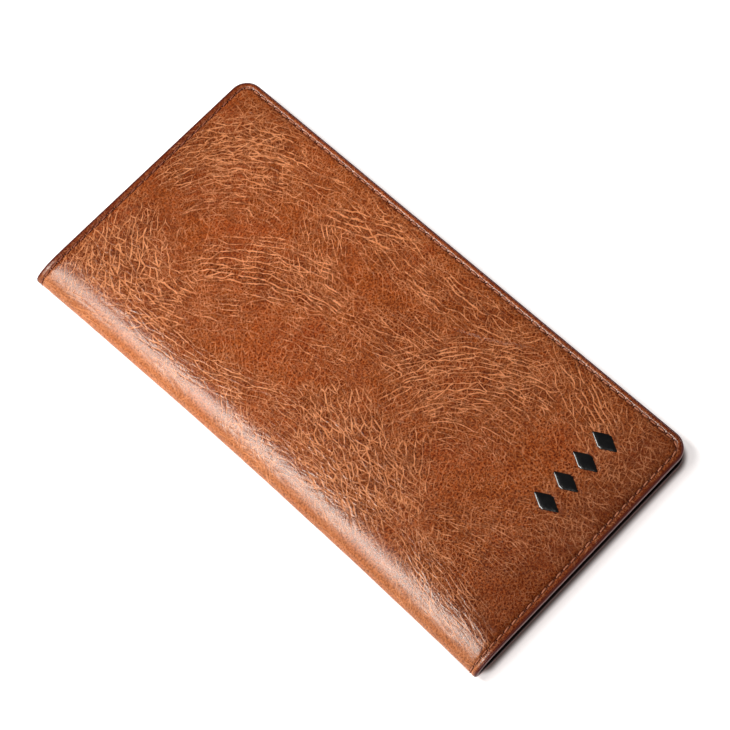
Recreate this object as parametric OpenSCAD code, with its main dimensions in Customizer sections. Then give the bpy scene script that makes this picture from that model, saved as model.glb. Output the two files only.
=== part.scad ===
// Long bifold wallet, closed and lying on its rear cover.
// Frame: +Z up, +Y along the spine, +X from the fold to the open edge, origin at the middle of the underside.
// The rear half is drawn; the front half is the same build turned over about the middle plane.
// Rear cover, spine and front cover are three bodies that turn about two fold lines.

/* [Overall] */
// Length along the spine
wallet_l = 190; // [184:1:200]
// Width from the fold to the open edge when closed
wallet_w = 95; // [94:1:100]
// Radius of the two corners at the open edge of each cover
corner_r = 6; // [5:0.5:9]
// Outer radius of the rolled fold
fold_r = 3.5; // [3.3:0.1:3.6]

/* [Layers] */
// Outer leather
leather_t = 1.0; // [0.9:0.05:1.1]
// Foam pad that crowns the middle of each cover
foam_t = 0.5; // [0.4:0.05:0.6]
// Stiffener board
board_t = 0.6; // [0.5:0.05:0.6]
// Cover lining
lining_t = 0.3; // [0.2:0.05:0.3]
// Height of the banknote pocket when empty
note_gap = 0.3; // [0.2:0.05:0.4]
// Sheet that carries the card slots
sheet_t = 0.3; // [0.25:0.05:0.4]
// One card slot leaf
leaf_t = 0.3; // [0.2:0.02:0.3]

/* [Stitching] */
// Distance of the seam from the cover's edge
seam_in = 2.2; // [2:0.1:2.6]
// Stitch spacing
stitch_pitch = 3.2; // [3:0.1:5]
// Length of one stitch
stitch_len = 2.3; // [1.8:0.1:2.6]
// Thread width
thread_w = 0.5; // [0.4:0.05:0.6]

/* [Card slots] */
// Distance from one card slot mouth to the next
slot_pitch = 17; // [16.5:0.1:17.5]
// Mouth of the first rear card slot, along Y
first_mouth = 82; // [80:0.5:83]
// Depth of a card slot
slot_depth = 50; // [48:1:50]

/* [Identity window] */
// Clear opening, across
window_w = 74; // [70:1:78]
// Clear opening, along
window_l = 52; // [46:1:54]
// Clear film
film_t = 0.2; // [0.15:0.05:0.25]

/* [Mark] */
// Number of lozenges in the plain pressed mark
mark_count = 4; // [3:1:5]
// Lozenge width
mark_w = 5.8; // [5:0.2:7]
// Lozenge height
mark_h = 10.4; // [8:0.2:11]

/* [Hidden] */

// card slots in each half
rear_slots = 8;
front_slots = 4;
half_w = wallet_w / 2;
half_l = wallet_l / 2;
paint_t = 0.35;
// border of each cover stands in from the crown by the foam's thickness
border_z = foam_t;
z_leather = border_z + leather_t;
z_board = z_leather + board_t;
z_lining = z_board + lining_t;
z_note = z_lining + note_gap;
z_sheet = z_note + sheet_t;
// leaves lie like shingles; this rise over one pitch clears one leaf
slope = (leaf_t + 0.04) / slot_pitch;
stack = slope * slot_depth + leaf_t;
closing_gap = 0.2;
half_t = z_sheet + stack + closing_gap / 2;
wallet_t = 2 * half_t;
// centre of the rolled fold
fold_x = -half_w + fold_r;
// where the padding stops so that the fold stays supple
pad_x = fold_x + 8.5;
// half the angle left open between leathers of neighbouring bodies
cut_a = 2;
// pocket panels
panel_in = 1.0;
panel_x0 = fold_x + 0.7;
last_mouth = first_mouth - (rear_slots - 1) * slot_pitch;

tan_leather = [0.62, 0.29, 0.13];
dark_edge = [0.16, 0.07, 0.05];
thread_tan = [0.55, 0.27, 0.14];
lining_black = [0.07, 0.06, 0.06];
slot_leather = [0.50, 0.23, 0.11];

function arc(r, a0, a1, n) =
    [for (i = [0:n]) let (a = a0 + (a1 - a0) * i / n) [fold_x + r * cos(a), half_t + r * sin(a)]];

// Plan outline of a cover or panel: square at the fold, rounded at the open edge
module outline(in, x0 = -half_w - 1) {
    x1 = half_w - in;
    y1 = half_l - in;
    r = max(corner_r - in, 0.3);
    translate([x0, -y1]) square([x1 - r - x0, 2 * y1]);
    translate([x0, -(y1 - r)]) square([x1 - x0, 2 * (y1 - r)]);
    for (s = [-1, 1]) translate([x1 - r, s * (y1 - r)]) circle(r = r, $fn = 64);
}

module prism(in, z0, z1, x0 = -half_w - 1) {
    translate([0, 0, z0]) linear_extrude(height = z1 - z0) outline(in, x0);
}

// Section in X and Z, drawn out along the spine
module along_y(len) {
    rotate([90, 0, 0]) linear_extrude(height = len, center = true) children();
}

// Section in Y and Z, drawn out across the wallet
module along_x(x0, x1) {
    translate([x0, 0, 0]) rotate([90, 0, 90]) linear_extrude(height = x1 - x0) children();
}

// The front half is the rear half's build turned over
module turned_over() {
    translate([0, 0, wallet_t]) mirror([0, 0, 1]) children();
}

// ---------- cover laminate, drawn for the rear ----------

module leather_section() {
    polygon(concat(
        [[half_w + 1, border_z], [pad_x, border_z]],
        arc(fold_r, 270, 225 + cut_a, 8),
        arc(fold_r - leather_t, 225 + cut_a, 270, 8),
        [[pad_x, z_leather], [half_w + 1, z_leather]]
    ));
}

module crown_section() {
    polygon([
        [half_w, 0], [pad_x, 0], [pad_x - 5.5, border_z + 0.3],
        [pad_x - 5.5, leather_t], [half_w, leather_t]
    ]);
}

module seam_groove() {
    w = thread_w + 0.3;
    for (s = [-1, 1])
        translate([0, s * (half_l - seam_in), 0]) along_y(w)
            polygon(concat(
                [[half_w - corner_r, border_z - 0.2], [pad_x, border_z - 0.2]],
                arc(fold_r + 0.2, 270, 225, 6),
                arc(fold_r - 0.3, 225, 270, 6),
                [[pad_x, border_z + 0.3], [half_w - corner_r, border_z + 0.3]]
            ));
    translate([half_w - seam_in - w / 2, -(half_l - corner_r), border_z - 0.2])
        cube([w, 2 * (half_l - corner_r), 0.5]);
    for (s = [0, 1])
        mirror([0, s, 0]) translate([half_w - corner_r, half_l - corner_r, border_z - 0.2])
            rotate_extrude(angle = 90, $fn = 64)
                translate([corner_r - seam_in - w / 2, 0]) square([w, 0.5]);
}

module cover_leather() {
    color(tan_leather)
        difference() {
            union() {
                intersection() {
                    along_y(wallet_l) leather_section();
                    prism(paint_t, -1, half_t);
                }
                intersection() {
                    along_y(wallet_l) crown_section();
                    union() {
                        prism(seam_in + 1.7, -1, 0.3);
                        prism(seam_in + 1.0, 0.25, 1.2);
                    }
                }
            }
            prism(seam_in + 2.4, leather_t, z_leather + 0.1, pad_x + 1.1);
            seam_groove();
        }
}

module foam_pad() {
    color("dimgray") prism(seam_in + 2.5, leather_t, z_leather, pad_x + 1.2);
}

module stiffener_board() {
    color("peru") prism(paint_t, z_leather, z_board, pad_x + 1.1);
}

module cover_lining() {
    r = fold_r - leather_t - 0.03;
    color(lining_black)
        intersection() {
            along_y(wallet_l)
                polygon(concat(
                    [[half_w + 1, z_board], [pad_x + 1, z_board], [pad_x - 2, z_leather + 0.18]],
                    arc(r, 270, 225 + cut_a, 8),
                    arc(r - lining_t, 225 + cut_a, 270, 8),
                    [[pad_x - 2, z_leather + 0.18 + lining_t], [pad_x + 1.2, z_lining], [half_w + 1, z_lining]]
                ));
            prism(paint_t, 0, half_t);
        }
}

module edge_paint() {
    r = fold_r - leather_t - 0.03 - lining_t;
    color(dark_edge)
        intersection() {
            along_y(wallet_l + 1)
                polygon(concat(
                    [[half_w + 1, border_z], [pad_x, border_z]],
                    arc(fold_r, 270, 225 + cut_a, 8),
                    arc(r, 225 + cut_a, 270, 8),
                    [[pad_x - 2, z_leather + 0.18 + lining_t], [pad_x + 1.2, z_lining], [half_w + 1, z_lining]]
                ));
            difference() {
                prism(0, 0, half_t);
                prism(paint_t, -1, half_t + 1, -half_w - 2);
            }
        }
}

// One stitch lying along X with its middle at the origin
module stitch() {
    translate([-stitch_len / 2, -thread_w / 2, 0.05]) cube([stitch_len, thread_w, 0.25]);
}

module stitching() {
    color(thread_tan) {
        // short sides, flat part
        x0 = pad_x;
        x1 = half_w - corner_r;
        n = round((x1 - x0) / stitch_pitch);
        for (s = [-1, 1], i = [0:n - 1])
            translate([x0 + (i + 0.5) * (x1 - x0) / n, s * (half_l - seam_in), border_z]) stitch();
        // short sides, where the cover falls away to the fold
        drop = half_t - fold_r - border_z;
        fall = atan2(drop, pad_x - fold_x);
        m = floor((pad_x - fold_x) / stitch_pitch);
        for (s = [-1, 1], i = [0:m - 1])
            translate([pad_x, s * (half_l - seam_in), border_z]) rotate([0, fall, 0])
                translate([-(i + 0.5) * (pad_x - fold_x) / m, 0, 0]) stitch();
        // short sides, on the roll
        for (s = [-1, 1])
            translate([0, s * (half_l - seam_in), 0]) along_y(thread_w)
                polygon(concat(arc(fold_r - 0.05, 265, 231, 5), arc(fold_r - 0.3, 231, 265, 5)));
        // long side
        y1 = half_l - corner_r;
        k = round(2 * y1 / stitch_pitch);
        for (i = [0:k - 1])
            translate([half_w - seam_in, -y1 + (i + 0.5) * 2 * y1 / k, border_z]) rotate([0, 0, 90]) stitch();
        // corners
        r = corner_r - seam_in;
        for (s = [0, 1], a = [22, 68])
            mirror([0, s, 0]) translate([half_w - corner_r, half_l - corner_r, border_z])
                rotate([0, 0, a]) translate([r - 0.08, 0, 0]) rotate([0, 0, 90]) stitch();
    }
}

// ---------- pockets, drawn for the rear ----------

// Spacer that joins the card sheet to the cover on three sides and leaves the fold side open
module note_pocket_rim() {
    w = 2.4;
    color(slot_leather) {
        for (s = [0, 1])
            mirror([0, s, 0]) intersection() {
                prism(panel_in, z_lining, z_note, panel_x0);
                translate([panel_x0, half_l - panel_in - w, 0]) cube([wallet_w, w + 1, half_t]);
            }
        intersection() {
            prism(panel_in, z_lining, z_note, panel_x0);
            translate([half_w - panel_in - w, -(half_l - panel_in - w - 0.02), 0])
                cube([w + 1, 2 * (half_l - panel_in - w - 0.02), half_t]);
        }
    }
}

module card_sheet() {
    color(slot_leather) prism(panel_in, z_note, z_sheet, panel_x0);
}

// A card slot leaf: its mouth stands on the leaves under it, its foot on the card sheet
module card_leaf(mouth, last = false) {
    top = z_sheet + slope * slot_depth;
    foot = mouth - slot_depth;
    color(slot_leather)
        intersection() {
            along_x(panel_x0, half_w - panel_in)
                if (last)
                    polygon([
                        [mouth, top], [foot, z_sheet], [foot - wallet_l, z_sheet],
                        [foot - wallet_l, z_sheet + leaf_t], [foot, z_sheet + leaf_t], [mouth, top + leaf_t]
                    ]);
                else
                    polygon([[mouth, top], [foot, z_sheet], [foot, z_sheet + leaf_t], [mouth, top + leaf_t]]);
            prism(panel_in, 0, half_t, panel_x0);
        }
}

module rear_leaf(i) {
    card_leaf(first_mouth - (i - 1) * slot_pitch, i == rear_slots);
}

module front_leaf(i) {
    card_leaf(last_mouth + (front_slots - i) * slot_pitch, i == front_slots);
}

// ---------- identity window on the front half, drawn for the rear ----------

window_y = (last_mouth + (front_slots - 1) * slot_pitch + 5 + half_l - panel_in) / 2;
window_x = (panel_x0 + half_w - panel_in) / 2;
frame_l = half_l - panel_in - (last_mouth + (front_slots - 1) * slot_pitch + 5);

module rounded(w, l, r) {
    square([w - 2 * r, l], center = true);
    square([w, l - 2 * r], center = true);
    for (x = [-1, 1], y = [-1, 1]) translate([x * (w / 2 - r), y * (l / 2 - r)]) circle(r = r, $fn = 48);
}

module id_window_frame() {
    z0 = z_sheet;
    z1 = z_sheet + 0.8;
    color(slot_leather)
        difference() {
            intersection() {
                prism(panel_in, z0, z1, panel_x0);
                translate([panel_x0, window_y - frame_l / 2, 0]) cube([wallet_w, frame_l, half_t]);
            }
            translate([window_x, window_y, 0]) linear_extrude(height = half_t)
                rounded(window_w, window_l, 4);
            // recess behind the frame for the film and the card, open on the fold side
            translate([panel_x0 - 0.1, window_y - window_l / 2 - 4, z0 - 0.1])
                cube([window_x + window_w / 2 + 6.5 - panel_x0 + 0.1, window_l + 8, 0.1 + 0.5]);
        }
}

module id_window_film() {
    color([0.85, 0.88, 0.9, 0.35])
        translate([window_x - window_w / 2 - 6, window_y - window_l / 2 - 3.5, z_sheet + 0.5 - film_t])
            cube([window_w + 12, window_l + 7, film_t]);
}

// ---------- pressed mark: a row of plain lozenges let into the front cover ----------

mark_x = 18;
mark_y = -75;
mark_t = 0.3;

module mark_plan() {
    step = mark_w + 2.8;
    for (i = [0:mark_count - 1])
        translate([mark_x + (i - (mark_count - 1) / 2) * step, mark_y])
            polygon([[-mark_w / 2, 0], [0, -mark_h / 2], [mark_w / 2, 0], [0, mark_h / 2]]);
}

module pressed_mark() {
    color([0.03, 0.03, 0.03]) linear_extrude(height = mark_t) mark_plan();
}

// ---------- spine ----------

module spine_leather() {
    color(tan_leather)
        difference() {
            along_y(wallet_l - 2 * paint_t)
                polygon(concat(
                    arc(fold_r, 135 + cut_a, 225 - cut_a, 14),
                    arc(fold_r - leather_t, 225 - cut_a, 135 + cut_a, 14)
                ));
            for (s = [-1, 1])
                translate([0, s * (half_l - seam_in), 0]) along_y(thread_w + 0.3)
                    polygon(concat(arc(fold_r + 0.2, 130, 230, 14), arc(fold_r - 0.3, 230, 130, 14)));
        }
}

module spine_lining() {
    r = fold_r - leather_t - 0.03;
    color(lining_black)
        along_y(wallet_l - 2 * paint_t)
            polygon(concat(
                arc(r, 135 + cut_a, 225 - cut_a, 14),
                arc(r - lining_t, 225 - cut_a, 135 + cut_a, 14)
            ));
}

module spine_edge_paint() {
    r = fold_r - leather_t - 0.03 - lining_t;
    color(dark_edge)
        for (s = [-1, 1])
            translate([0, s * (half_l - paint_t / 2), 0]) along_y(paint_t)
                polygon(concat(
                    arc(fold_r, 135 + cut_a, 225 - cut_a, 14),
                    arc(r, 225 - cut_a, 135 + cut_a, 14)
                ));
}

module spine_stitching() {
    color(thread_tan)
        for (s = [-1, 1], a = [141, 182])
            translate([0, s * (half_l - seam_in), 0]) along_y(thread_w)
                polygon(concat(arc(fold_r - 0.05, a, a + 37, 6), arc(fold_r - 0.3, a + 37, a, 6)));
}

// ---------- nodes ----------

color(tan_leather) difference() {  // front_cover_leather
        turned_over() cover_leather();
        translate([0, 0, wallet_t - mark_t]) linear_extrude(height = 1) mark_plan();
    }
turned_over() foam_pad();  // front_foam_pad
turned_over() stiffener_board();  // front_stiffener_board
turned_over() cover_lining();  // front_cover_lining
turned_over() edge_paint();  // front_edge_paint
turned_over() stitching();  // front_stitching
turned_over() note_pocket_rim();  // front_note_pocket_rim
turned_over() card_sheet();  // front_card_sheet
turned_over() front_leaf(1);  // front_card_leaf_1
turned_over() front_leaf(2);  // front_card_leaf_2
turned_over() front_leaf(3);  // front_card_leaf_3
turned_over() front_leaf(4);  // front_card_leaf_4
turned_over() id_window_frame();
turned_over() id_window_film();
turned_over() pressed_mark();

spine_leather();
spine_lining();
spine_edge_paint();
spine_stitching();

cover_leather();  // rear_cover_leather
foam_pad();  // rear_foam_pad
stiffener_board();  // rear_stiffener_board
cover_lining();  // rear_cover_lining
edge_paint();  // rear_edge_paint
stitching();  // rear_stitching
note_pocket_rim();  // rear_note_pocket_rim
card_sheet();  // rear_card_sheet
rear_leaf(1);  // rear_card_leaf_1
rear_leaf(2);  // rear_card_leaf_2
rear_leaf(3);  // rear_card_leaf_3
rear_leaf(4);  // rear_card_leaf_4
rear_leaf(5);  // rear_card_leaf_5
rear_leaf(6);  // rear_card_leaf_6
rear_leaf(7);  // rear_card_leaf_7
rear_leaf(8);  // rear_card_leaf_8
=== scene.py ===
import math
import bpy
import numpy as np
from mathutils import Matrix, Vector


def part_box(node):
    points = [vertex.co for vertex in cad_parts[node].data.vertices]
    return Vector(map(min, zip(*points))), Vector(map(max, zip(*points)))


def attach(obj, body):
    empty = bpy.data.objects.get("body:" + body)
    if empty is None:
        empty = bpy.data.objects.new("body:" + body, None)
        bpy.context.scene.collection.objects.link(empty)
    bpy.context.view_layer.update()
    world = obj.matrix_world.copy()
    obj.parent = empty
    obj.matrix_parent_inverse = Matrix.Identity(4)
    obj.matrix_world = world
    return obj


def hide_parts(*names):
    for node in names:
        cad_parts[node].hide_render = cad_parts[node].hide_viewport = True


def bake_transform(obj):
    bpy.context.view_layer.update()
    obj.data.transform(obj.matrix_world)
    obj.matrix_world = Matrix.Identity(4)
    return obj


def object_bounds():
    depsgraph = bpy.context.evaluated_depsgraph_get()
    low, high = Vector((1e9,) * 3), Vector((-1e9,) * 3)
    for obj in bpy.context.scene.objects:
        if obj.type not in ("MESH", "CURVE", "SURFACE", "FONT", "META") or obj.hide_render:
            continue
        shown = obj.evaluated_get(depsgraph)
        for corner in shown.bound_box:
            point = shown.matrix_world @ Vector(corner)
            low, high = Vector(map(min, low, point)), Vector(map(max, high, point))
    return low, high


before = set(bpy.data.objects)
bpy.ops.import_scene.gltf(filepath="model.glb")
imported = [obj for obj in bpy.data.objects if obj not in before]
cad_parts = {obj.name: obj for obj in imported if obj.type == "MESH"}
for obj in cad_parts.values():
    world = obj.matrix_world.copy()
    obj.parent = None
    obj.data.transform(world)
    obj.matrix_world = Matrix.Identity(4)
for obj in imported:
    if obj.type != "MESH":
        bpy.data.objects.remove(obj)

CAD_BOUNDS = [list(p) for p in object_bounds()]

# ------------------------------------------------------------------ sizes, in millimetres
LO = [v * 1000 for v in CAD_BOUNDS[0]]
HI = [v * 1000 for v in CAD_BOUNDS[1]]
HW = HI[0]                      # open edge
HL = HI[1]                      # half the length
T = HI[2] - LO[2]               # closed thickness
ZC = T / 2                      # middle plane
CORNER_R = 6.0
FOLD_R = 3.5
FX = -HW + FOLD_R               # centre line of the rolled fold
SEAM = 2.2
EDGE_T = 1.9                    # leather, board and lining together at the cut edge
CROWN = 0.5
Z_EDGE = T - CROWN              # outer face of the sewn border, front
BOW = 1.5                       # the fold is drawn in by this much in the middle of its length

scene = bpy.context.scene
scene.view_settings.view_transform = "Standard"
scene.view_settings.look = "None"


# ------------------------------------------------------------------ small tools
def hash2(ix, iy, seed):
    h = (ix.astype(np.int64) * 374761393 + iy.astype(np.int64) * 668265263 + seed * 2147483647) & 0xFFFFFFFF
    h = ((h ^ (h >> 13)) * 1274126177) & 0xFFFFFFFF
    return (h ^ (h >> 16)) & 0xFFFFFFFF


def perlin(x, y, seed=0):
    """Gradient noise, about -0.7 to 0.7."""
    x = np.asarray(x, float)
    y = np.asarray(y, float)
    x0, y0 = np.floor(x), np.floor(y)
    fx, fy = x - x0, y - y0
    out = 0
    u = fx * fx * fx * (fx * (fx * 6 - 15) + 10)
    v = fy * fy * fy * (fy * (fy * 6 - 15) + 10)
    for dx, wx in ((0, 1 - u), (1, u)):
        for dy, wy in ((0, 1 - v), (1, v)):
            a = hash2(x0 + dx, y0 + dy, seed) / 4294967296.0 * 2 * np.pi
            out = out + wx * wy * (np.cos(a) * (fx - dx) + np.sin(a) * (fy - dy))
    return out


def fbm(x, y, seed=0, octaves=3):
    return sum(perlin(x * 2**k, y * 2**k, seed + 17 * k) / 2**k for k in range(octaves))


def smooth(a, b, x):
    t = np.clip((x - a) / (b - a), 0, 1)
    return t * t * (3 - 2 * t)


def build(name, verts, faces, attrs=None, sharp=None):
    """A mesh object from millimetre vertices. attrs are per-vertex floats or vectors."""
    me = bpy.data.meshes.new(name)
    verts = np.asarray(verts, float) * 0.001
    if isinstance(faces, np.ndarray):
        n, k = faces.shape
        me.vertices.add(len(verts))
        me.vertices.foreach_set("co", verts.astype(np.float32).ravel())
        me.loops.add(n * k)
        me.loops.foreach_set("vertex_index", faces.astype(np.int32).ravel())
        me.polygons.add(n)
        me.polygons.foreach_set("loop_start", np.arange(0, n * k, k, dtype=np.int32))
        me.update(calc_edges=True)
        me.validate()
    else:
        me.from_pydata([tuple(v) for v in verts], [], faces)
        me.update()
    me.polygons.foreach_set("use_smooth", np.ones(len(me.polygons), bool))
    if sharp:
        me.set_sharp_from_angle(angle=math.radians(sharp))
    for key, value in (attrs or {}).items():
        value = np.asarray(value, np.float32)
        if value.ndim == 1:
            me.attributes.new(key, "FLOAT", "POINT").data.foreach_set("value", value)
        else:
            me.attributes.new(key, "FLOAT_VECTOR", "POINT").data.foreach_set("vector", value.ravel())
    ob = bpy.data.objects.new(name, me)
    scene.collection.objects.link(ob)
    return ob


def grid_faces(rows, cols, flip=False, start=0):
    i, j = np.meshgrid(np.arange(rows - 1), np.arange(cols - 1), indexing="ij")
    a = start + (i * cols + j).ravel()
    f = np.stack([a, a + 1, a + cols + 1, a + cols], 1)
    return f[:, ::-1].copy() if flip else f


def join_parts(parts):
    """[(verts, faces)] as one vertex array and one face list."""
    vs, fs, n = [], [], 0
    for v, f in parts:
        vs.append(np.asarray(v, float))
        fs.extend([tuple(int(i) + n for i in q) for q in f])
        n += len(v)
    return np.concatenate(vs), fs


def to_rear(v):
    v = np.array(v, float)
    v[..., 2] = T - v[..., 2]
    return v


# ------------------------------------------------------------------ the outer surface
def resample(poly, n):
    poly = np.asarray(poly)
    seg = np.r_[0, np.cumsum(np.hypot(*np.diff(poly, axis=0).T))]
    q = np.linspace(0, seg[-1], n)
    return np.stack([np.interp(q, seg, poly[:, 0]), np.interp(q, seg, poly[:, 1])], 1), seg[-1]


def profile(z_top, slopes):
    """Fold and shoulder in X and Z, from the middle of the spine up and over to X_FLAT. slopes: (x, degrees of fall towards the fold)."""
    xs = np.linspace(X_FLAT, FX, 240)
    tan = np.tan(np.radians(np.interp(-xs, [-x for x, _ in slopes], [d for _, d in slopes])))
    drop = np.r_[0, np.cumsum((tan[1:] + tan[:-1]) / 2 * np.abs(np.diff(xs)))]
    top = np.stack([xs, z_top - drop], 1)
    end = math.radians(slopes[-1][1])
    p0, p3 = top[-1], np.array([FX - FOLD_R, ZC])
    reach = p0[1] - ZC
    p1 = p0 + 1.75 * np.array([-math.cos(end), -math.sin(end)])
    p2 = p3 + np.array([0, reach * 0.56])
    t = np.linspace(0, 1, 120)[1:, None]
    arc = p0 * (1 - t) ** 3 + 3 * p1 * t * (1 - t) ** 2 + 3 * p2 * t * t * (1 - t) + p3 * t**3
    return np.concatenate([top, arc])[::-1]


X_FLAT = -30.0
mid_poly = profile(T, ((-30, 0), (-34, 0.3), (-36, 2.5), (-38.5, 6.5), (-41.5, 12.0), (-44, 18.5)))
end_poly = profile(Z_EDGE, ((-30, 0), (-36.5, 0.5), (-39, 3.5), (-41.5, 9.0), (-44, 18.5)))
MIDP, MID_LEN = resample(mid_poly, 400)
ENDP, END_LEN = resample(end_poly, 400)
S_FLAT = MID_LEN                # arc length from the middle of the spine to X_FLAT
S_CORNER = S_FLAT + (HW - CORNER_R - X_FLAT)


def fold_curve(s, w):
    """Point on the fold and shoulder at arc length s, w 0 at the sewn ends and 1 in the padded middle."""
    q = np.clip(s / S_FLAT, 0, 1) * 399
    k = np.clip(q.astype(int), 0, 398)
    f = q - k
    a = ENDP[k] * (1 - f)[..., None] + ENDP[k + 1] * f[..., None]
    b = MIDP[k] * (1 - f)[..., None] + MIDP[k + 1] * f[..., None]
    return a * (1 - w)[..., None] + b * w[..., None]


def bow(x, y):
    return BOW * (1 - (y / HL) ** 2) * (1 - smooth(-44.0, -26.0, x))


def crown_of(e):
    """The padding rises steeply just inside the seam."""
    return np.where(e > SEAM + 0.25, 1 - np.exp(-np.clip(e - SEAM - 0.25, 0, None) / 0.95), 0.0)


def plan(s, y):
    """Plan position of a grid point with its distance to the cut edge and its place along the seam."""
    x = np.where(s > S_FLAT, X_FLAT + (s - S_FLAT), -99.0)
    a = np.clip((x - (HW - CORNER_R)) / CORNER_R, 0, 1)
    b = np.clip((np.abs(y) - (HL - CORNER_R)) / CORNER_R, 0, 1)
    inside = (a > 0) & (b > 0)
    xx = np.where(inside, HW - CORNER_R + CORNER_R * a * np.sqrt(1 - b * b / 2), x)
    yy = np.where(inside, np.sign(y) * (HL - CORNER_R + CORNER_R * b * np.sqrt(1 - a * a / 2)), y)
    rad = np.hypot(xx - (HW - CORNER_R), np.abs(yy) - (HL - CORNER_R))
    e = np.where(inside, CORNER_R - rad, np.minimum(np.where(s > S_FLAT, HW - x, 99.0), HL - np.abs(y)))
    ang = np.arctan2(xx - (HW - CORNER_R), np.abs(yy) - (HL - CORNER_R))  # 0 towards the short side
    rs = CORNER_R - SEAM
    quarter = rs * np.pi / 2
    short = np.minimum(s, S_CORNER)
    along = np.where(
        inside, S_CORNER + rs * ang,
        np.where(HL - np.abs(y) < np.where(s > S_FLAT, HW - x, 99.0), short, S_CORNER + quarter + (HL - CORNER_R - np.abs(y))),
    )
    return xx, yy, np.clip(e, 0, None), along


SEAM_HALF = S_CORNER + (CORNER_R - SEAM) * math.pi / 2 + (HL - CORNER_R)
STITCHES = 2 * round(SEAM_HALF / 3.2)
PITCH = 2 * SEAM_HALF / STITCHES

# Wrinkle fields of the outer leather, on its developed surface: centre x and y, direction of the lines in degrees from -Y
# towards +X, half length, half width, radius of the flow (0 straight, minus when it curls towards the fold), cell length,
# cell width, strength.
FIELDS = (
    (
        (24, 78, 42, 24, 13, -40, 6.5, 2.0, 0.95), (4, 40, 25, 25, 9.5, -60, 8.5, 2.2, 1.0), (20, -31, 38, 27, 12, -38, 6.5, 1.9, 1.0),
        (-22, 78, -46, 17, 14, 60, 5.5, 2.3, 0.95), (-35, 36, 10, 32, 6.0, 90, 7.5, 1.8, 0.9), (-24, -22, -30, 23, 14, 0, 4.6, 2.2, 0.95),
        (-36, -72, -14, 21, 7, 0, 6.5, 1.6, 0.8), (37, -60, -24, 17, 8, 0, 5.5, 2.0, 0.8), (36, -16, 8, 20, 7, 0, 7.5, 2.1, 0.8),
        (34, 27, 24, 16, 6, 0, 11.0, 2.8, 0.8), (4, -86, -38, 14, 8, 0, 4.2, 2.0, 0.5), (-47, 82, 12, 16, 3.5, 0, 6.0, 1.5, 0.7),
    ),
    (
        (28, 79, 66, 14, 10, 0, 5.0, 2.6, 0.7), (18, 33, -42, 12, 9, 0, 5.0, 1.9, 0.8), (-25, 70, 6, 22, 12, 0, 6.0, 2.5, 0.8),
        (-19, 44, 40, 13, 7, 0, 7.0, 2.3, 0.6), (-26, -20, 2, 27, 13, 0, 5.6, 2.0, 0.85), (14, -9, 6, 14, 10, 0, 7.0, 2.0, 0.8),
        (-18, -66, 18, 16, 9, -50, 5.0, 1.7, 0.65), (22, -88, 14, 9, 22, 0, 5.0, 2.3, 0.65), (35, 18, -8, 20, 9, 0, 8.5, 2.5, 0.65),
        (34, -42, 52, 12, 13, 0, 5.0, 2.3, 0.6), (12, 65, 34, 15, 5.5, -30, 8.5, 2.6, 0.65), (-46, 8, -44, 22, 6, 0, 5.5, 2.0, 0.7),
    ),
    (
        (31, 60, 28, 24, 11, -60, 9.0, 3.0, 0.65), (-31, 60, 36, 17, 9, 0, 6.0, 2.7, 0.7), (1, 12, 14, 16, 13, 0, 6.0, 2.5, 0.5),
        (-37, -12, 14, 28, 8, 0, 5.0, 1.9, 0.8), (-13, -38, -52, 18, 6, 0, 8.5, 2.7, 0.85), (5, -38, 30, 18, 8, -30, 6.5, 2.1, 0.75),
        (31, -80, -48, 13, 11, 0, 4.2, 2.3, 0.6), (-40, -64, -40, 18, 7, 0, 5.0, 2.1, 0.6), (-36, 84, -70, 9, 11, 0, 4.6, 2.3, 0.7),
        (-2, -78, 24, 15, 8, 0, 4.6, 2.0, 0.5), (40, 66, 4, 26, 5, 0, 6.5, 2.2, 0.5), (-44, 40, -30, 16, 6, 0, 5.0, 2.0, 0.55),
    ),
)


def wrinkle_fields(fs, y):
    """For each layer the local coordinates (along, across) of the field that owns a point, and how strong it is there."""
    out = []
    for layer_no, fields in enumerate(FIELDS):
        best = np.zeros(fs.shape)
        second = np.zeros(fs.shape)
        co = np.zeros(fs.shape + (3,))
        wob = 0.34 * fbm(fs / 7.5 + 20 * layer_no, y / 7.5, 61 + layer_no, 3)
        for side in (0, 1):
            for k, (cx, cy, ang, hl, hw, rad, length, width, power) in enumerate(fields):
                cx = cx - X_FLAT + S_FLAT
                if side:
                    cx, cy = -cx, -cy
                    rad = rad
                a = math.radians(ang)
                t = np.array([math.sin(a), -math.cos(a)])
                n = np.array([math.cos(a), math.sin(a)])
                dx, dy = fs - cx, y - cy
                if rad:
                    sg = 1 if rad > 0 else -1
                    ex, ey = dx - n[0] * rad, dy - n[1] * rad
                    r = np.hypot(ex, ey)
                    v = sg * (abs(rad) - r)
                    u = abs(rad) * np.arctan2(ex * t[0] + ey * t[1], -sg * (ex * n[0] + ey * n[1]))
                else:
                    u, v = dx * t[0] + dy * t[1], dx * n[0] + dy * n[1]
                q = np.hypot(u / hl, v / hw)
                m = (1 - smooth(0.70, 1.50, q + wob)) * power
                win = m > best
                second = np.where(win, best, np.maximum(second, m))
                off = (k + 14 * side + 30 * layer_no) * 17.3
                co = np.where(win[..., None], np.stack([u / length + off, v / width + off * 0.61, np.zeros_like(u)], -1), co)
                best = np.where(win, m, best)
        co[..., 2] = best * smooth(0.0, 0.22, best - second)
        out.append(co)
    return out


MARK_X, MARK_Y = 18.0, -75.0
mark_lo, mark_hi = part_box("pressed_mark")
MARK_X = (mark_lo.x + mark_hi.x) * 500
MARK_Y = (mark_lo.y + mark_hi.y) * 500
MARK_H = (mark_hi.y - mark_lo.y) * 1000
MARK_W, MARK_STEP = 5.8, 8.6
MARKS = [MARK_X + (i - 1.5) * MARK_STEP for i in range(4)]


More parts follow.
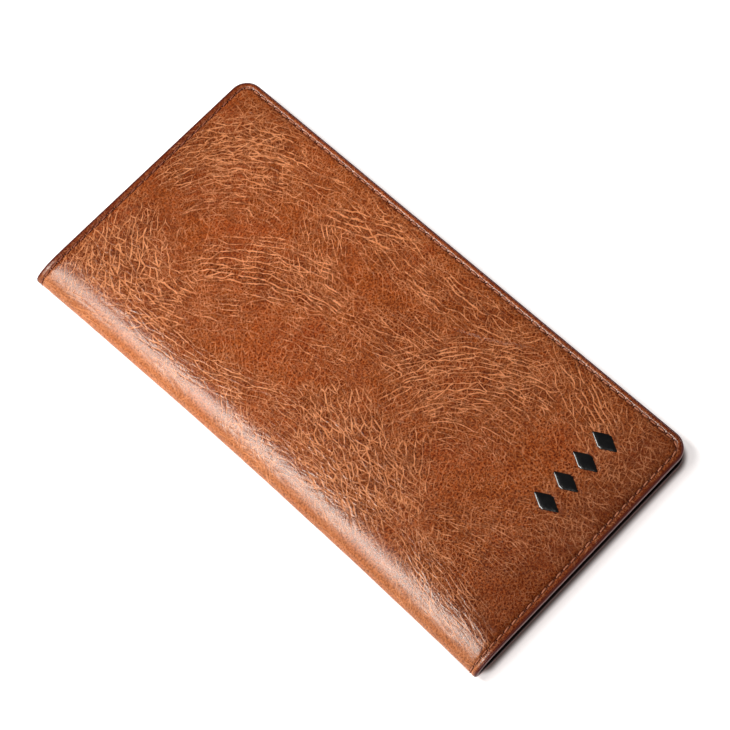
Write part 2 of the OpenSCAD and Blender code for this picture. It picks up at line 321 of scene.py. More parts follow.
def mark_distance(x, y):
    d = np.full(np.shape(x), 99.0)
    a, b = MARK_W / 2, MARK_H / 2
    for mx in MARKS:
        q = (np.abs(x - mx) / a + np.abs(y - MARK_Y) / b - 1) * a * b / math.hypot(a, b)
        d = np.minimum(d, q)
    return d


def surface(s, y, seed, marks=False, side=1):
    """Outer leather, front side: points, normals and the fields that its material reads."""
    s, y = np.asarray(s, float), np.asarray(y, float)
    xx, yy, e, along = plan(s, y)
    ey = HL - np.abs(yy)
    w = crown_of(ey)
    near = s <= S_FLAT
    q = fold_curve(np.minimum(s, S_FLAT), w)
    # direction of the section curve, for the normal
    q2 = fold_curve(np.minimum(s, S_FLAT) + 0.05, w)
    q1 = fold_curve(np.maximum(np.minimum(s, S_FLAT) - 0.05, 0), w)
    d = q2 - q1
    d = d / np.maximum(np.hypot(d[..., 0], d[..., 1]), 1e-9)[..., None]
    nx, nz = -d[..., 1], d[..., 0]
    nx = np.where(near, nx, 0.0)
    nz = np.where(near, nz, 1.0)
    x = np.where(near, q[..., 0], xx)
    z = np.where(near, q[..., 1], Z_EDGE + CROWN * crown_of(e))
    # relief, in millimetres along the normal
    flat_s = np.where(near, s, S_FLAT + (xx - X_FLAT))
    h = 0.10 * fbm(flat_s / 34 + 3.1, yy / 34, seed, 2) * smooth(4, 14, e)
    h = h + 0.035 * fbm(flat_s / 9, yy / 11, seed + 5, 2) * smooth(3, 7, e)
    crease = np.zeros(yy.shape)
    for k, co in enumerate(wrinkle_fields(side * flat_s, yy)):
        r1 = np.clip(1 - np.abs(perlin(co[..., 0] * 0.55, co[..., 1] * 0.50, 90 + k)) * 4.2, 0, 1) ** 1.6
        crease = np.maximum(crease, r1 * co[..., 2])
    crease = crease * smooth(3.2, 5, e)
    h = h - 0.075 * crease
    # seam groove, with the margin and the padding pulled down at each needle hole
    ph = np.cos(2 * np.pi * along / PITCH)      # 1 at the holes
    g = np.exp(-(((e - SEAM) / 0.38) ** 2))
    h = h - (0.25 - 0.08 * ph) * g
    h = h + 0.10 * np.exp(-(((e - 1.05) / 0.60) ** 2)) * (1 + 0.20 * ph)
    h = h - 0.045 * (0.5 - 0.5 * ph) * np.exp(-(((e - SEAM - 0.75) / 0.45) ** 2))
    # turned cut edge
    r = 0.70
    t = np.clip(1 - e / r, 0, 1)
    h = h - r * (1 - np.sqrt(np.clip(1 - t * t, 0, 1))) * 0.9
    # small pulled tuck beside the near fold corner
    tuck = np.exp(-(((flat_s - 14.0) / 1.0) ** 2)) * np.exp(-(((yy + HL - 4.6) / 2.3) ** 2))
    h = h - 0.10 * tuck
    if marks:
        m = mark_distance(x, yy)
        h = h - 0.14 * np.exp(-(((m - 0.15) / 0.55) ** 2))
    x = x + bow(x, yy) + nx * h
    z = z + nz * h
    pos = np.stack([x, yy, z], -1)
    flat = np.stack([flat_s, yy, np.zeros_like(yy)], -1)
    return pos, np.stack([nx, np.zeros_like(nx), nz], -1), flat, e, along, crease


def steps(a, b, d):
    n = max(2, int(round(abs(b - a) / d)) + 1)
    return np.linspace(a, b, n)


def skin_columns():
    fine = [0, 0.05, 0.12, 0.22, 0.36, 0.55, 0.8, 1.1]
    s_open = S_FLAT + HW - X_FLAT
    cols = np.r_[fine, steps(1.42, 21, 0.36)[0:], steps(21, s_open - 9, 0.62)[1:], steps(s_open - 9, s_open - 0.42, 0.32)[1:],
                 s_open - np.array([0.30, 0.19, 0.10, 0.04, 0.0])]
    return cols


def skin_rows():
    half = np.r_[steps(0, HL - 9, 0.62), steps(HL - 9, HL - 0.42, 0.32)[1:], HL - np.array([0.30, 0.19, 0.10, 0.04, 0.0])]
    return np.r_[-half[::-1], half[1:]]


def make_skin(name, rear):
    cols, rows = skin_columns(), skin_rows()
    y, s = np.meshgrid(rows, cols, indexing="ij")
    seed = 3
    sg = -1 if rear else 1
    pos, _, flat, e, along, crease = surface(s, y, seed, marks=not rear, side=sg)
    if rear:
        # its own relief away from the spine, the same at the shared line
        pos2, *_rest = surface(s, y, 41, side=sg)
        crease2 = _rest[4]
        k = smooth(0, 9, s)
        pos = pos * (1 - k)[..., None] + pos2 * k[..., None]
        crease = crease * (1 - k) + crease2 * k
        flat = flat * np.array([-1, 1, 1])
        pos = to_rear(pos)
    R, C = y.shape
    v = pos.reshape(-1, 3)
    f = grid_faces(R, C, flip=rear)
    at = {"flat": flat.reshape(-1, 3), "edge": e.ravel(), "along": along.ravel(), "crease": crease.ravel()}
    for key, co in zip(("net_a", "net_b", "net_c"), wrinkle_fields(flat[..., 0], flat[..., 1])):
        at[key] = co.reshape(-1, 3)
    ob = build(name, v, f, at)
    return ob


# ------------------------------------------------------------------ paths along the seam and the cut edge
def edge_path(inset, step, rear=False):
    """Points, outward directions, surface normals and lengths along a line inset from the cut edge, from the middle of the spine at +Y round to the middle of the spine at -Y."""
    r = CORNER_R - inset
    pts, outs, nors, along = [], [], [], []

    def add(p, o, n, l):
        pts.append(p), outs.append(o), nors.append(n), along.append(l)

    yb = HL - inset
    for s in steps(0, S_FLAT, step):
        q = fold_curve(np.array([s]), np.array([0.0]))[0]
        q2 = fold_curve(np.array([min(s + 0.05, S_FLAT)]), np.array([0.0]))[0]
        q1 = fold_curve(np.array([max(s - 0.05, 0)]), np.array([0.0]))[0]
        d = (q2 - q1) / np.hypot(*(q2 - q1))
        add((q[0] + float(bow(q[0], yb)), yb, q[1]), (0, 1, 0), (-d[1], 0, d[0]), s)
    for x in steps(X_FLAT, HW - CORNER_R, step)[1:]:
        add((x + float(bow(x, yb)), yb, Z_EDGE), (0, 1, 0), (0, 0, 1), S_FLAT + x - X_FLAT)
    for a in np.linspace(0, np.pi / 2, max(4, int(round(r * 1.57 / min(step, 0.5)))))[1:]:
        o = (math.sin(a), math.cos(a), 0)
        add((HW - CORNER_R + r * o[0], HL - CORNER_R + r * o[1], Z_EDGE), o, (0, 0, 1), S_CORNER + (CORNER_R - SEAM) * a)
    for y in steps(HL - CORNER_R, 0, step)[1:]:
        add((HW - inset, y, Z_EDGE), (1, 0, 0), (0, 0, 1), S_CORNER + (CORNER_R - SEAM) * np.pi / 2 + HL - CORNER_R - y)
    pts, outs, nors, along = map(np.array, (pts, outs, nors, along))
    m = np.array([1, -1, 1])
    pts = np.concatenate([pts, pts[-2::-1] * m])
    outs = np.concatenate([outs, outs[-2::-1] * m])
    nors = np.concatenate([nors, nors[-2::-1]])
    along = np.concatenate([along, 2 * SEAM_HALF - along[-2::-1]])
    if rear:
        pts = to_rear(pts)
        nors = nors * np.array([1, 1, -1])
    return pts, outs, nors, along


def make_edge_bead(name, rear):
    """Painted cut edge: a rounded band round three sides and over both ends of the fold."""
    pts, outs, nors, along = edge_path(0.0, 1.1, rear)
    thick = np.interp(np.minimum(along, 2 * SEAM_HALF - along), [0, 5.4, 11.5], [1.62, 1.64, EDGE_T])
    ring = [(-0.50, 0.07), (-0.36, 0.035), (-0.20, -0.045), (-0.06, -0.17), (0.03, -0.34), (0.08, -0.58), (0.105, -0.86), (0.11, -1.0),
            (0.105, -1.14), (0.08, -1.36), (0.03, -1.60), (-0.05, -1.76), (-0.17, -1.87), (-0.34, -1.90), (-0.60, -1.88)]
    n, k = len(pts), len(ring)
    lump = 0.035 * perlin(along / 2.3, along * 0, 5 if rear else 9) + 0.03 * perlin(along / 0.9, along * 0, 7)
    vs = []
    for i, (o, d) in enumerate(ring):
        depth = np.where(d > -1, d, d + 1) if False else d * thick / EDGE_T
        vs.append(pts + outs * (o + (lump if 3 < i < 12 else 0 * lump))[:, None] + nors * np.reshape(depth, (-1, 1)))
    v = np.stack(vs, 1).reshape(-1, 3)
    f = grid_faces(n, k, flip=rear)
    back = np.array([[i * k + k - 1, i * k, (i + 1) * k, (i + 1) * k + k - 1] for i in range(n - 1)])
    f = np.concatenate([f, back[:, ::-1] if rear else back])
    band = np.tile(np.linspace(0, 1, k), n)
    return build(name, v, f, {"band": band, "flat": np.stack([np.repeat(along, k), np.tile(np.linspace(0, 2.4, k), n), np.zeros(n * k)], 1)})


def stitch(c, t, nrm, length, r, sink, arch, turn, k=10, seg=8, twist=3.2):
    """A two-ply stitch that rises out of one hole and goes down the next."""
    t = t / np.linalg.norm(t)
    nrm = nrm - t * (nrm @ t)
    nrm /= np.linalg.norm(nrm)
    b = np.cross(nrm, t)
    t = t * math.cos(turn) + b * math.sin(turn)
    b = np.cross(nrm, t)
    v = []
    for i in range(k):
        u = -1 + 2 * i / (k - 1)
        taper = math.sqrt(max(0.0, 1 - abs(u) ** 5)) * 0.75 + 0.25
        up = arch * (1 - u * u) - sink - 0.30 * max(0, abs(u) - 0.72) / 0.28
        for j in range(seg):
            a = 2 * math.pi * j / seg
            rr = r * taper * (1 + 0.13 * math.cos(2 * a - twist * u * 2.2))
            v.append(c + t * (u * length / 2) + b * (rr * math.cos(a)) + nrm * (up + rr * 0.82 * math.sin(a)))
    f = [(i * seg + j, i * seg + (j + 1) % seg, (i + 1) * seg + (j + 1) % seg, (i + 1) * seg + j) for i in range(k - 1) for j in range(seg)]
    f.append(tuple(range(seg - 1, -1, -1)))
    f.append(tuple((k - 1) * seg + j for j in range(seg)))
    return v, f


def make_thread(name, rear):
    pts, outs, nors, along = edge_path(SEAM, 0.25, rear)
    rng = np.random.default_rng(11 if rear else 4)
    parts = []
    for i in range(STITCHES):
        a = (i + 0.5) * PITCH
        c = np.array([np.interp(a, along, pts[:, k]) for k in range(3)])
        p1 = np.array([np.interp(a - 0.6, along, pts[:, k]) for k in range(3)])
        p2 = np.array([np.interp(a + 0.6, along, pts[:, k]) for k in range(3)])
        n = np.array([np.interp(a, along, nors[:, k]) for k in range(3)])
        parts.append(stitch(c, p2 - p1, n, 2.42 + rng.normal(0, 0.05), 0.25, 0.12, 0.12, math.radians(5 + rng.normal(0, 1.6))))
    v, f = join_parts(parts)
    return build(name, v, f)


# ------------------------------------------------------------------ flat layers
def flat_outline(inset, x0, r=None, n=10):
    """Plan of a cover layer, square at the fold and round at the open edge."""
    x1, y1 = HW - inset, HL - inset
    r = max(CORNER_R - inset, 0.3) if r is None else r
    p = [(x0, -y1)]
    p += [(x1 - r + r * math.sin(a), -y1 + r - r * math.cos(a)) for a in np.linspace(0, math.pi / 2, n)]
    p += [(x1 - r + r * math.cos(a), y1 - r + r * math.sin(a)) for a in np.linspace(0, math.pi / 2, n)]
    p += [(x0, y1)]
    return p


def rounded_box(x0, x1, y0, y1, r, n=8):
    p = []
    for cx, cy, a0 in ((x1 - r, y0 + r, -90), (x1 - r, y1 - r, 0), (x0 + r, y1 - r, 90), (x0 + r, y0 + r, 180)):
        p += [(cx + r * math.cos(math.radians(a)), cy + r * math.sin(math.radians(a))) for a in np.linspace(a0, a0 + 90, n)]
    return p


def clip_y(poly, y0, y1):
    """Part of a convex outline between two values of y."""
    for lim, keep in ((y0, lambda q: q[1] >= y0 - 1e-9), (y1, lambda q: q[1] <= y1 + 1e-9)):
        out = []
        for a, b in zip(poly, poly[1:] + poly[:1]):
            if keep(a):
                out.append(a)
            if keep(a) != keep(b):
                t = (lim - a[1]) / (b[1] - a[1])
                out.append((a[0] + t * (b[0] - a[0]), lim))
        poly = out
    return poly


def layer(name, loops, z0, z1, soft, lift=None, attrs=None, rear=True):
    """A sheet with softly rounded edges from one outer loop and any holes. Drawn for the rear half and turned over for the front. lift(x, y) raises points."""
    cu = bpy.data.curves.new(name, "CURVE")
    cu.dimensions = "2D"
    cu.fill_mode = "BOTH"
    soft = min(soft, (z1 - z0) / 2 - 1e-3)
    cu.extrude = ((z1 - z0) / 2 - soft) * 0.001
    cu.bevel_depth = soft * 0.001
    cu.bevel_resolution = 2
    cu.offset = -soft * 0.001
    for loop in loops:
        sp = cu.splines.new("POLY")
        sp.points.add(len(loop) - 1)
        for pt, (x, y) in zip(sp.points, loop):
            pt.co = (x * 0.001, y * 0.001, 0, 1)
        sp.use_cyclic_u = True
    tmp = bpy.data.objects.new(name + "_c", cu)
    scene.collection.objects.link(tmp)
    dg = bpy.context.evaluated_depsgraph_get()
    me = bpy.data.meshes.new_from_object(tmp.evaluated_get(dg))
    bpy.data.objects.remove(tmp)
    bpy.data.curves.remove(cu)
    me.name = name
    co = np.array([v.co for v in me.vertices], float).reshape(-1, 3) * 1000
    co[:, 2] += (z0 + z1) / 2
    vals = {k: g(co) for k, g in (attrs or {}).items()}
    if lift is not None:
        co[:, 2] += lift(co[:, 0], co[:, 1])
    if not rear:
        co = to_rear(co)
        me.flip_normals()
    me.vertices.foreach_set("co", (co * 0.001).astype(np.float32).ravel())
    me.update()
    me.polygons.foreach_set("use_smooth", np.ones(len(me.polygons), bool))
    me.set_sharp_from_angle(angle=math.radians(40))
    for k, val in vals.items():
        me.attributes.new(k, "FLOAT", "POINT").data.foreach_set("value", np.asarray(val, np.float32))
    ob = bpy.data.objects.new(name, me)
    scene.collection.objects.link(ob)
    return ob


# ------------------------------------------------------------------ node materials
class Mat:
    """A short hand for procedural materials. Sockets are passed as they come."""

    def __init__(self, name):
        self.m = bpy.data.materials.new(name)
        self.m.use_nodes = True
        self.nt = self.m.node_tree
        self.nt.nodes.clear()
        self.out = self.nt.nodes.new("ShaderNodeOutputMaterial")
        self.p = self.nt.nodes.new("ShaderNodeBsdfPrincipled")
        self.nt.links.new(self.p.outputs[0], self.out.inputs[0])

    def put(self, sock, v):
        if isinstance(v, bpy.types.NodeSocket):
            self.nt.links.new(v, sock)
        elif v is not None:
            if hasattr(sock.default_value, "__len__") and not hasattr(v, "__len__"):
                v = (v,) * len(sock.default_value)
            if hasattr(sock.default_value, "__len__") and len(sock.default_value) == 4 and len(v) == 3:
                v = (*v, 1)
            sock.default_value = v

    def math(self, op, a, b=None, c=None, clamp=False):
        n = self.nt.nodes.new("ShaderNodeMath")
        n.operation = op
        n.use_clamp = clamp
        for i, v in enumerate((a, b, c)):
            self.put(n.inputs[i], v)
        return n.outputs[0]

    def vec(self, op, a, b=None, scale=None):
        n = self.nt.nodes.new("ShaderNodeVectorMath")
        n.operation = op
        self.put(n.inputs[0], a)
        self.put(n.inputs[1], b)
        if scale is not None:
            self.put(n.inputs["Scale"], scale)
        return n.outputs[0]

    def attr(self, name, vector=False):
        n = self.nt.nodes.new("ShaderNodeAttribute")
        n.attribute_name = name
        return n.outputs["Vector" if vector else "Fac"]

    def obj(self, scale=1000.0):
        n = self.nt.nodes.new("ShaderNodeTexCoord")
        return self.vec("SCALE", n.outputs["Object"], scale=scale)

    def place(self, v, scale=(1, 1, 1), rot=0.0, loc=(0, 0, 0)):
        n = self.nt.nodes.new("ShaderNodeMapping")
        n.vector_type = "POINT"
        # turn first, then stretch
        n.inputs["Rotation"].default_value = (0, 0, rot)
        n.inputs["Location"].default_value = loc
        self.put(n.inputs["Vector"], v)
        return self.vec("MULTIPLY", n.outputs[0], scale)

    def noise(self, v, scale, detail=2.0, rough=0.5, dims="2D", colour=False, distortion=0.0):
        n = self.nt.nodes.new("ShaderNodeTexNoise")
        n.noise_dimensions = dims
        self.put(n.inputs["Vector"], v)
        n.inputs["Scale"].default_value = scale
        n.inputs["Detail"].default_value = detail
        n.inputs["Roughness"].default_value = rough
        n.inputs["Distortion"].default_value = distortion
        return n.outputs["Color" if colour else "Fac"]

    def warp(self, v, scale, amount, detail=1.0, dims="2D"):
        c = self.noise(v, scale, detail, colour=True, dims=dims)
        return self.vec("ADD", v, self.vec("SCALE", self.vec("SUBTRACT", c, (0.5, 0.5, 0.5)), scale=amount))

    def cells(self, v, scale, feature="DISTANCE_TO_EDGE", dims="2D", out="Distance", rand=1.0):
        n = self.nt.nodes.new("ShaderNodeTexVoronoi")
        n.voronoi_dimensions = dims
        n.feature = feature
        self.put(n.inputs["Vector"], v)
        n.inputs["Scale"].default_value = scale
        n.inputs["Randomness"].default_value = rand
        return n.outputs[out]

    def ramp(self, v, a, b, lo=0.0, hi=1.0, kind="SMOOTHSTEP"):
        n = self.nt.nodes.new("ShaderNodeMapRange")
        n.interpolation_type = kind
        for k, x in (("Value", v), ("From Min", a), ("From Max", b), ("To Min", lo), ("To Max", hi)):
            self.put(n.inputs[k], x)
        return n.outputs["Result"]

    def mix(self, f, a, b, mode="MIX"):
        n = self.nt.nodes.new("ShaderNodeMix")
        n.data_type = "RGBA"
        n.blend_type = mode
        self.put(n.inputs[0], f)
        self.put(n.inputs[6], a)
        self.put(n.inputs[7], b)
        return n.outputs[2]

    def bump(self, h, dist=0.001, strength=1.0, normal=None):
        n = self.nt.nodes.new("ShaderNodeBump")
        n.inputs["Strength"].default_value = strength
        n.inputs["Distance"].default_value = dist
        self.put(n.inputs["Height"], h)
        self.put(n.inputs["Normal"], normal)
        return n.outputs[0]

    def finish(self, colour, rough, normal=None, **consts):
        self.put(self.p.inputs["Base Color"], colour)
        self.put(self.p.inputs["Roughness"], rough)
        self.put(self.p.inputs["Normal"], normal)
        for k, v in consts.items():
            self.p.inputs[k.replace("_", " ")].default_value = v
        return self.m


GROUND, GROUND_DARK, OLIVE, PINK = (155, 71, 26), (116, 40, 2), (138, 66, 14), (162, 68, 32)
PIT, GRAIN, LINE_1, LINE_2 = (66, 18, 0), (188, 112, 66), (224, 154, 118), (204, 130, 90)


def srgb(r, g, b):
    return tuple(((c / 255 / 12.92) if c / 255 <= 0.04045 else ((c / 255 + 0.055) / 1.055) ** 2.4) for c in (r, g, b))


def crackle_leather(name):
    """Waxed tan leather that has pulled up pale along its wrinkles: nets of fine pale lines that follow the wrinkle fields,
    with smooth, finely grained ground between them."""
    g = Mat(name)
    P = g.attr("flat", True)
    jit = g.vec("SUBTRACT", g.noise(P, 0.45, 2.0, 0.60, colour=True), (0.5, 0.5, 0.5))
    jit = g.vec("ADD", jit, g.vec("SCALE", g.vec("SUBTRACT", g.noise(P, 0.13, 1.0, colour=True), (0.5, 0.5, 0.5)), scale=3.0))

    def net(attr, sizes, jitter, w_lo, w_hi, cross, mult=(1.0, 1.0)):
        """Boundaries of stretched cells as lines of an even width in millimetres: each boundary has its own width and strength."""
        co = g.attr(attr, True) if isinstance(attr, str) else attr
        q = g.vec("ADD", g.vec("MULTIPLY", co, (*mult, 0)), g.vec("MULTIPLY", jit, (jitter / sizes[0], jitter / sizes[1], 0)))
        n = []
        for feature in ("F1", "F2"):
            v = g.nt.nodes.new("ShaderNodeTexVoronoi")
            v.voronoi_dimensions = "2D"
            v.feature = feature
            g.put(v.inputs["Vector"], q)
            v.inputs["Scale"].default_value = 1.0
            n.append(v)
        d1, d2 = n[0].outputs["Distance"], n[1].outputs["Distance"]
        a, b = n[0].outputs["Position"], n[1].outputs["Position"]
        num = g.math("MULTIPLY", g.math("SUBTRACT", g.math("MULTIPLY", d2, d2), g.math("MULTIPLY", d1, d1)), 0.5)
        grad = g.vec("MULTIPLY", g.vec("SUBTRACT", a, b), (mult[0] / sizes[0], mult[1] / sizes[1], 0))
        ln = g.nt.nodes.new("ShaderNodeVectorMath")
        ln.operation = "LENGTH"
        g.put(ln.inputs[0], grad)
        sep = g.nt.nodes.new("ShaderNodeSeparateXYZ")
        g.put(sep.inputs[0], grad)
        d = g.math("DIVIDE", num, g.math("MAXIMUM", ln.outputs["Value"], 0.01))
        across = g.math("DIVIDE", g.math("ABSOLUTE", sep.outputs[0]), g.math("MAXIMUM", ln.outputs["Value"], 0.01))
        wn = g.nt.nodes.new("ShaderNodeTexWhiteNoise")
        wn.noise_dimensions = "3D"
        g.put(wn.inputs["Vector"], g.vec("ADD", a, b))
        rnd = wn.outputs["Value"]
        width = g.ramp(rnd, 0.0, 1.0, w_lo, w_hi, "LINEAR")
        s3 = g.nt.nodes.new("ShaderNodeSeparateXYZ")
        g.put(s3.inputs[0], co)
        mask = s3.outputs[2] if isinstance(attr, str) else 1.0
        line = g.ramp(d, g.math("MULTIPLY", width, 0.25), width, 1.0, 0.0)
        power = g.math("MULTIPLY", g.ramp(rnd, 0.0, 0.7, 0.34, 1.0, "LINEAR"), g.math("SUBTRACT", 1.0, g.math("MULTIPLY", across, cross)))
        pillow = g.ramp(d, 0.0, 0.55)
        halo = g.math("MULTIPLY", g.ramp(d, width, g.math("MULTIPLY", width, 3.2), 1.0, 0.0), g.math("MULTIPLY", power, mask))
        return g.math("MULTIPLY", line, power), pillow, mask, halo

    lA, hA, mA, oA = net("net_a", (7.0, 2.0), 0.68, 0.15, 0.35, 0.50, mult=(0.92, 1.16))
    lB, hB, mB, oB = net("net_b", (6.0, 2.2), 0.68, 0.14, 0.32, 0.50, mult=(0.98, 1.20))
    lC, hC, mC, oC = net("net_c", (6.5, 2.4), 0.74, 0.14, 0.31, 0.45, mult=(0.98, 1.20))
    turned = g.place(g.vec("ADD", P, g.vec("SCALE", g.vec("SUBTRACT", g.noise(P, 0.035, 1.0, colour=True), (0.5, 0.5, 0.5)), scale=14.0)),
                     (1 / 1.45, 1 / 2.5, 1), 0.9)
    lF, hF, mF, _ = net(turned, (1.45, 2.5), 0.5, 0.09, 0.24, 0.1)
    fade = g.ramp(g.noise(P, 0.30, 2.0), 0.34, 0.56, 0.35, 1.0)
    fade2 = g.ramp(g.noise(g.vec("ADD", P, (55, 5, 0)), 0.26, 2.0), 0.36, 0.58, 0.30, 1.0)
    fine = g.noise(P, 1.55, 3.0, 0.70)
    sy = g.nt.nodes.new("ShaderNodeSeparateXYZ")
    g.put(sy.inputs[0], P)
    rubbed = g.ramp(sy.outputs[1], 80.0, -70.0, 0.68, 1.0, "LINEAR")
    brk = g.ramp(g.noise(P, 1.7, 2.0, 0.6), 0.34, 0.56, 0.62, 1.0)
    lA = g.math("MULTIPLY", g.math("MULTIPLY", lA, mA), fade)
    lB = g.math("MULTIPLY", g.math("MULTIPLY", lB, mB), fade2)
    lC = g.math("MULTIPLY", g.math("MULTIPLY", lC, mC), fade)
    lF = g.math("MULTIPLY", lF, g.ramp(g.noise(P, 0.14, 2.0), 0.36, 0.60, 0.35, 1.0))
    big = g.math("MULTIPLY", g.math("MAXIMUM", g.math("MAXIMUM", lA, lB), lC), brk)
    # the finest net, which shows over the smooth ground as well
    cf = g.cells(g.warp(P, 0.9, 0.9, 1.0), 1 / 1.05)
    lG = g.math("MULTIPLY", g.ramp(cf, 0.03, 0.16, 1.0, 0.0), g.ramp(g.noise(P, 0.16, 2.0), 0.36, 0.62, 0.18, 0.60))
    crease = g.attr("crease")
    dense = g.math("MAXIMUM", g.math("MAXIMUM", mA, mB), mC)
    # colour
    mot = g.noise(P, 0.11, 3.0, 0.6)
    base = g.mix(dense, srgb(*GROUND), srgb(*GROUND_DARK))
    base = g.mix(g.ramp(mot, 0.38, 0.68, 0.0, 0.50), base, srgb(*OLIVE))
    base = g.mix(g.ramp(g.noise(g.vec("ADD", P, (31, 77, 0)), 0.05, 2.0), 0.45, 0.70, 0.0, 0.45), base, srgb(*PINK))
    base = g.mix(g.math("MULTIPLY", g.ramp(fine, 0.36, 0.54, 0.98, 0.0), rubbed), base, srgb(*PIT))
    base = g.mix(g.math("MULTIPLY", g.ramp(fine, 0.51, 0.66, 0.0, 0.96), rubbed), base, srgb(*GRAIN))
    halo = g.math("MAXIMUM", g.math("MAXIMUM", oA, oB), oC)
    base = g.mix(g.math("MULTIPLY", halo, 0.92), base, srgb(*PIT))
    base = g.mix(g.ramp(g.noise(P, 0.75, 2.0, 0.6), 0.38, 0.62, 0.42, 0.0), base, srgb(*PIT))
    pale = g.mix(g.ramp(g.noise(P, 0.5, 2.0), 0.35, 0.65), srgb(*LINE_1), srgb(*LINE_2))
    lines = g.math("ADD", g.math("MULTIPLY", big, 1.55), g.math("MULTIPLY", g.math("MAXIMUM", lG, lF), 0.62), clamp=True)
    lines = g.math("ADD", lines, g.math("MULTIPLY", crease, 0.10), clamp=True)
    col = g.mix(lines, base, pale)
    # the wax has broken up all over the turn of the fold
    sp = g.nt.nodes.new("ShaderNodeSeparateXYZ")
    g.put(sp.inputs[0], P)
    worn = g.ramp(g.math("ABSOLUTE", sp.outputs[0]), 3.2, 8.5, 0.44, 0.0)
    worn = g.math("MULTIPLY", worn, g.ramp(fine, 0.34, 0.60, 0.55, 1.0))
    col = g.mix(worn, col, srgb(*LINE_1))
    # seam: groove and needle holes, darkened as painted shade; burnished cut edge
    e = g.attr("edge")
    al = g.attr("along")
    ds = g.math("ABSOLUTE", g.math("SUBTRACT", e, SEAM))
    from_gap = g.math("MULTIPLY", g.math("ABSOLUTE", g.math("SUBTRACT", g.math("FRACT", g.math("ADD", g.math("DIVIDE", al, PITCH), 0.5)), 0.5)), PITCH)
    dash = g.ramp(from_gap, 0.12, 0.48, 0.25, 1.0)
    groove = g.math("MULTIPLY", g.ramp(ds, 0.22, 0.60, 1.0, 0.0), dash)
    hd = g.math("SUBTRACT", from_gap, 0.40)
    hole_d = g.math("SQRT", g.math("ADD", g.math("MULTIPLY", hd, hd), g.math("MULTIPLY", ds, ds)))
    hole = g.ramp(hole_d, 0.14, 0.34, 1.0, 0.0)
    # painted shade: the groove along each stitch and the needle holes are darkened in the colour
    col = g.mix(g.math("MULTIPLY", groove, 0.80), col, srgb(78, 24, 12))
    col = g.mix(g.math("MULTIPLY", hole, 0.90), col, srgb(38, 10, 6))
    col = g.mix(g.ramp(g.math("ADD", e, g.math("MULTIPLY", g.math("SUBTRACT", fine, 0.5), 0.25)), 0.30, 1.45, 0.86, 0.0), col, srgb(96, 30, 18))
    # painted shade: the margin outside the seam is darker along the far (+Y) end
    far_end_shade = g.math("MULTIPLY", g.ramp(e, 1.6, 2.6, 1.0, 0.0), g.ramp(sp.outputs[1], 91.0, 92.6, 0.0, 1.0))
    col = g.mix(g.math("MULTIPLY", far_end_shade, 0.38), col, srgb(92, 30, 18))
    on_turn = g.ramp(g.math("ABSOLUTE", sp.outputs[0]), 6.0, 15.0, 1.0, 0.0)
    # painted shade: the leather is darker towards the near (-Y) end, less so on the turn of the fold
    dark = g.math("MULTIPLY", g.ramp(sp.outputs[1], -64.0, -93.0, 0.0, 0.46), g.math("SUBTRACT", 1.0, g.math("MULTIPLY", on_turn, 0.85)))
    col = g.mix(dark, col, srgb(70, 22, 4))
    # relief in millimetres: pillows between the lines, grain, pits
    h = g.math("MULTIPLY", g.math("MULTIPLY", hA, mA), 0.036)
    h = g.math("ADD", h, g.math("MULTIPLY", g.math("MULTIPLY", hB, mB), 0.028))
    h = g.math("ADD", h, g.math("MULTIPLY", g.math("MULTIPLY", hC, mC), 0.024))
    h = g.math("ADD", h, g.math("MULTIPLY", g.ramp(cf, 0.0, 0.26), 0.007))
    h = g.math("ADD", h, g.math("MULTIPLY", hF, 0.006))
    h = g.math("ADD", h, g.math("MULTIPLY", g.noise(P, 2.6, 2.0, 0.6), 0.004))
    h = g.math("SUBTRACT", h, g.math("ADD", g.math("MULTIPLY", groove, 0.05), g.math("MULTIPLY", hole, 0.16)))
    h = g.math("MULTIPLY", h, g.math("SUBTRACT", 1.0, g.math("MULTIPLY", on_turn, 0.58)))
    nor = g.bump(h, 0.001, 1.0)
    col = g.mix(1.0, col, (1.0, 0.865, 0.63), "MULTIPLY")
    # painted light and shade: brighter across the middle and darker towards both ends
    painted_light_tone = g.math("MULTIPLY", g.ramp(sp.outputs[1], -42.0, 30.0, 0.935, 1.075), g.ramp(sp.outputs[1], 56.0, 84.0, 1.0, 0.86))
    col = g.vec("SCALE", col, scale=painted_light_tone)
    rough = g.math("ADD", g.math("ADD", g.ramp(fine, 0.3, 0.7, 0.17, 0.23), g.math("MULTIPLY", on_turn, 0.065)), g.math("MULTIPLY", lines, g.math("SUBTRACT", 0.13, g.math("MULTIPLY", on_turn, 0.09))))
    rough = g.math("ADD", rough, g.math("ADD", g.math("MULTIPLY", groove, 0.35), g.math("MULTIPLY", hole, 0.5)), clamp=True)
    return g.finish(col, rough, nor, Specular_IOR_Level=0.28, Specular_Tint=(1.0, 1.0, 0.95, 1.0))


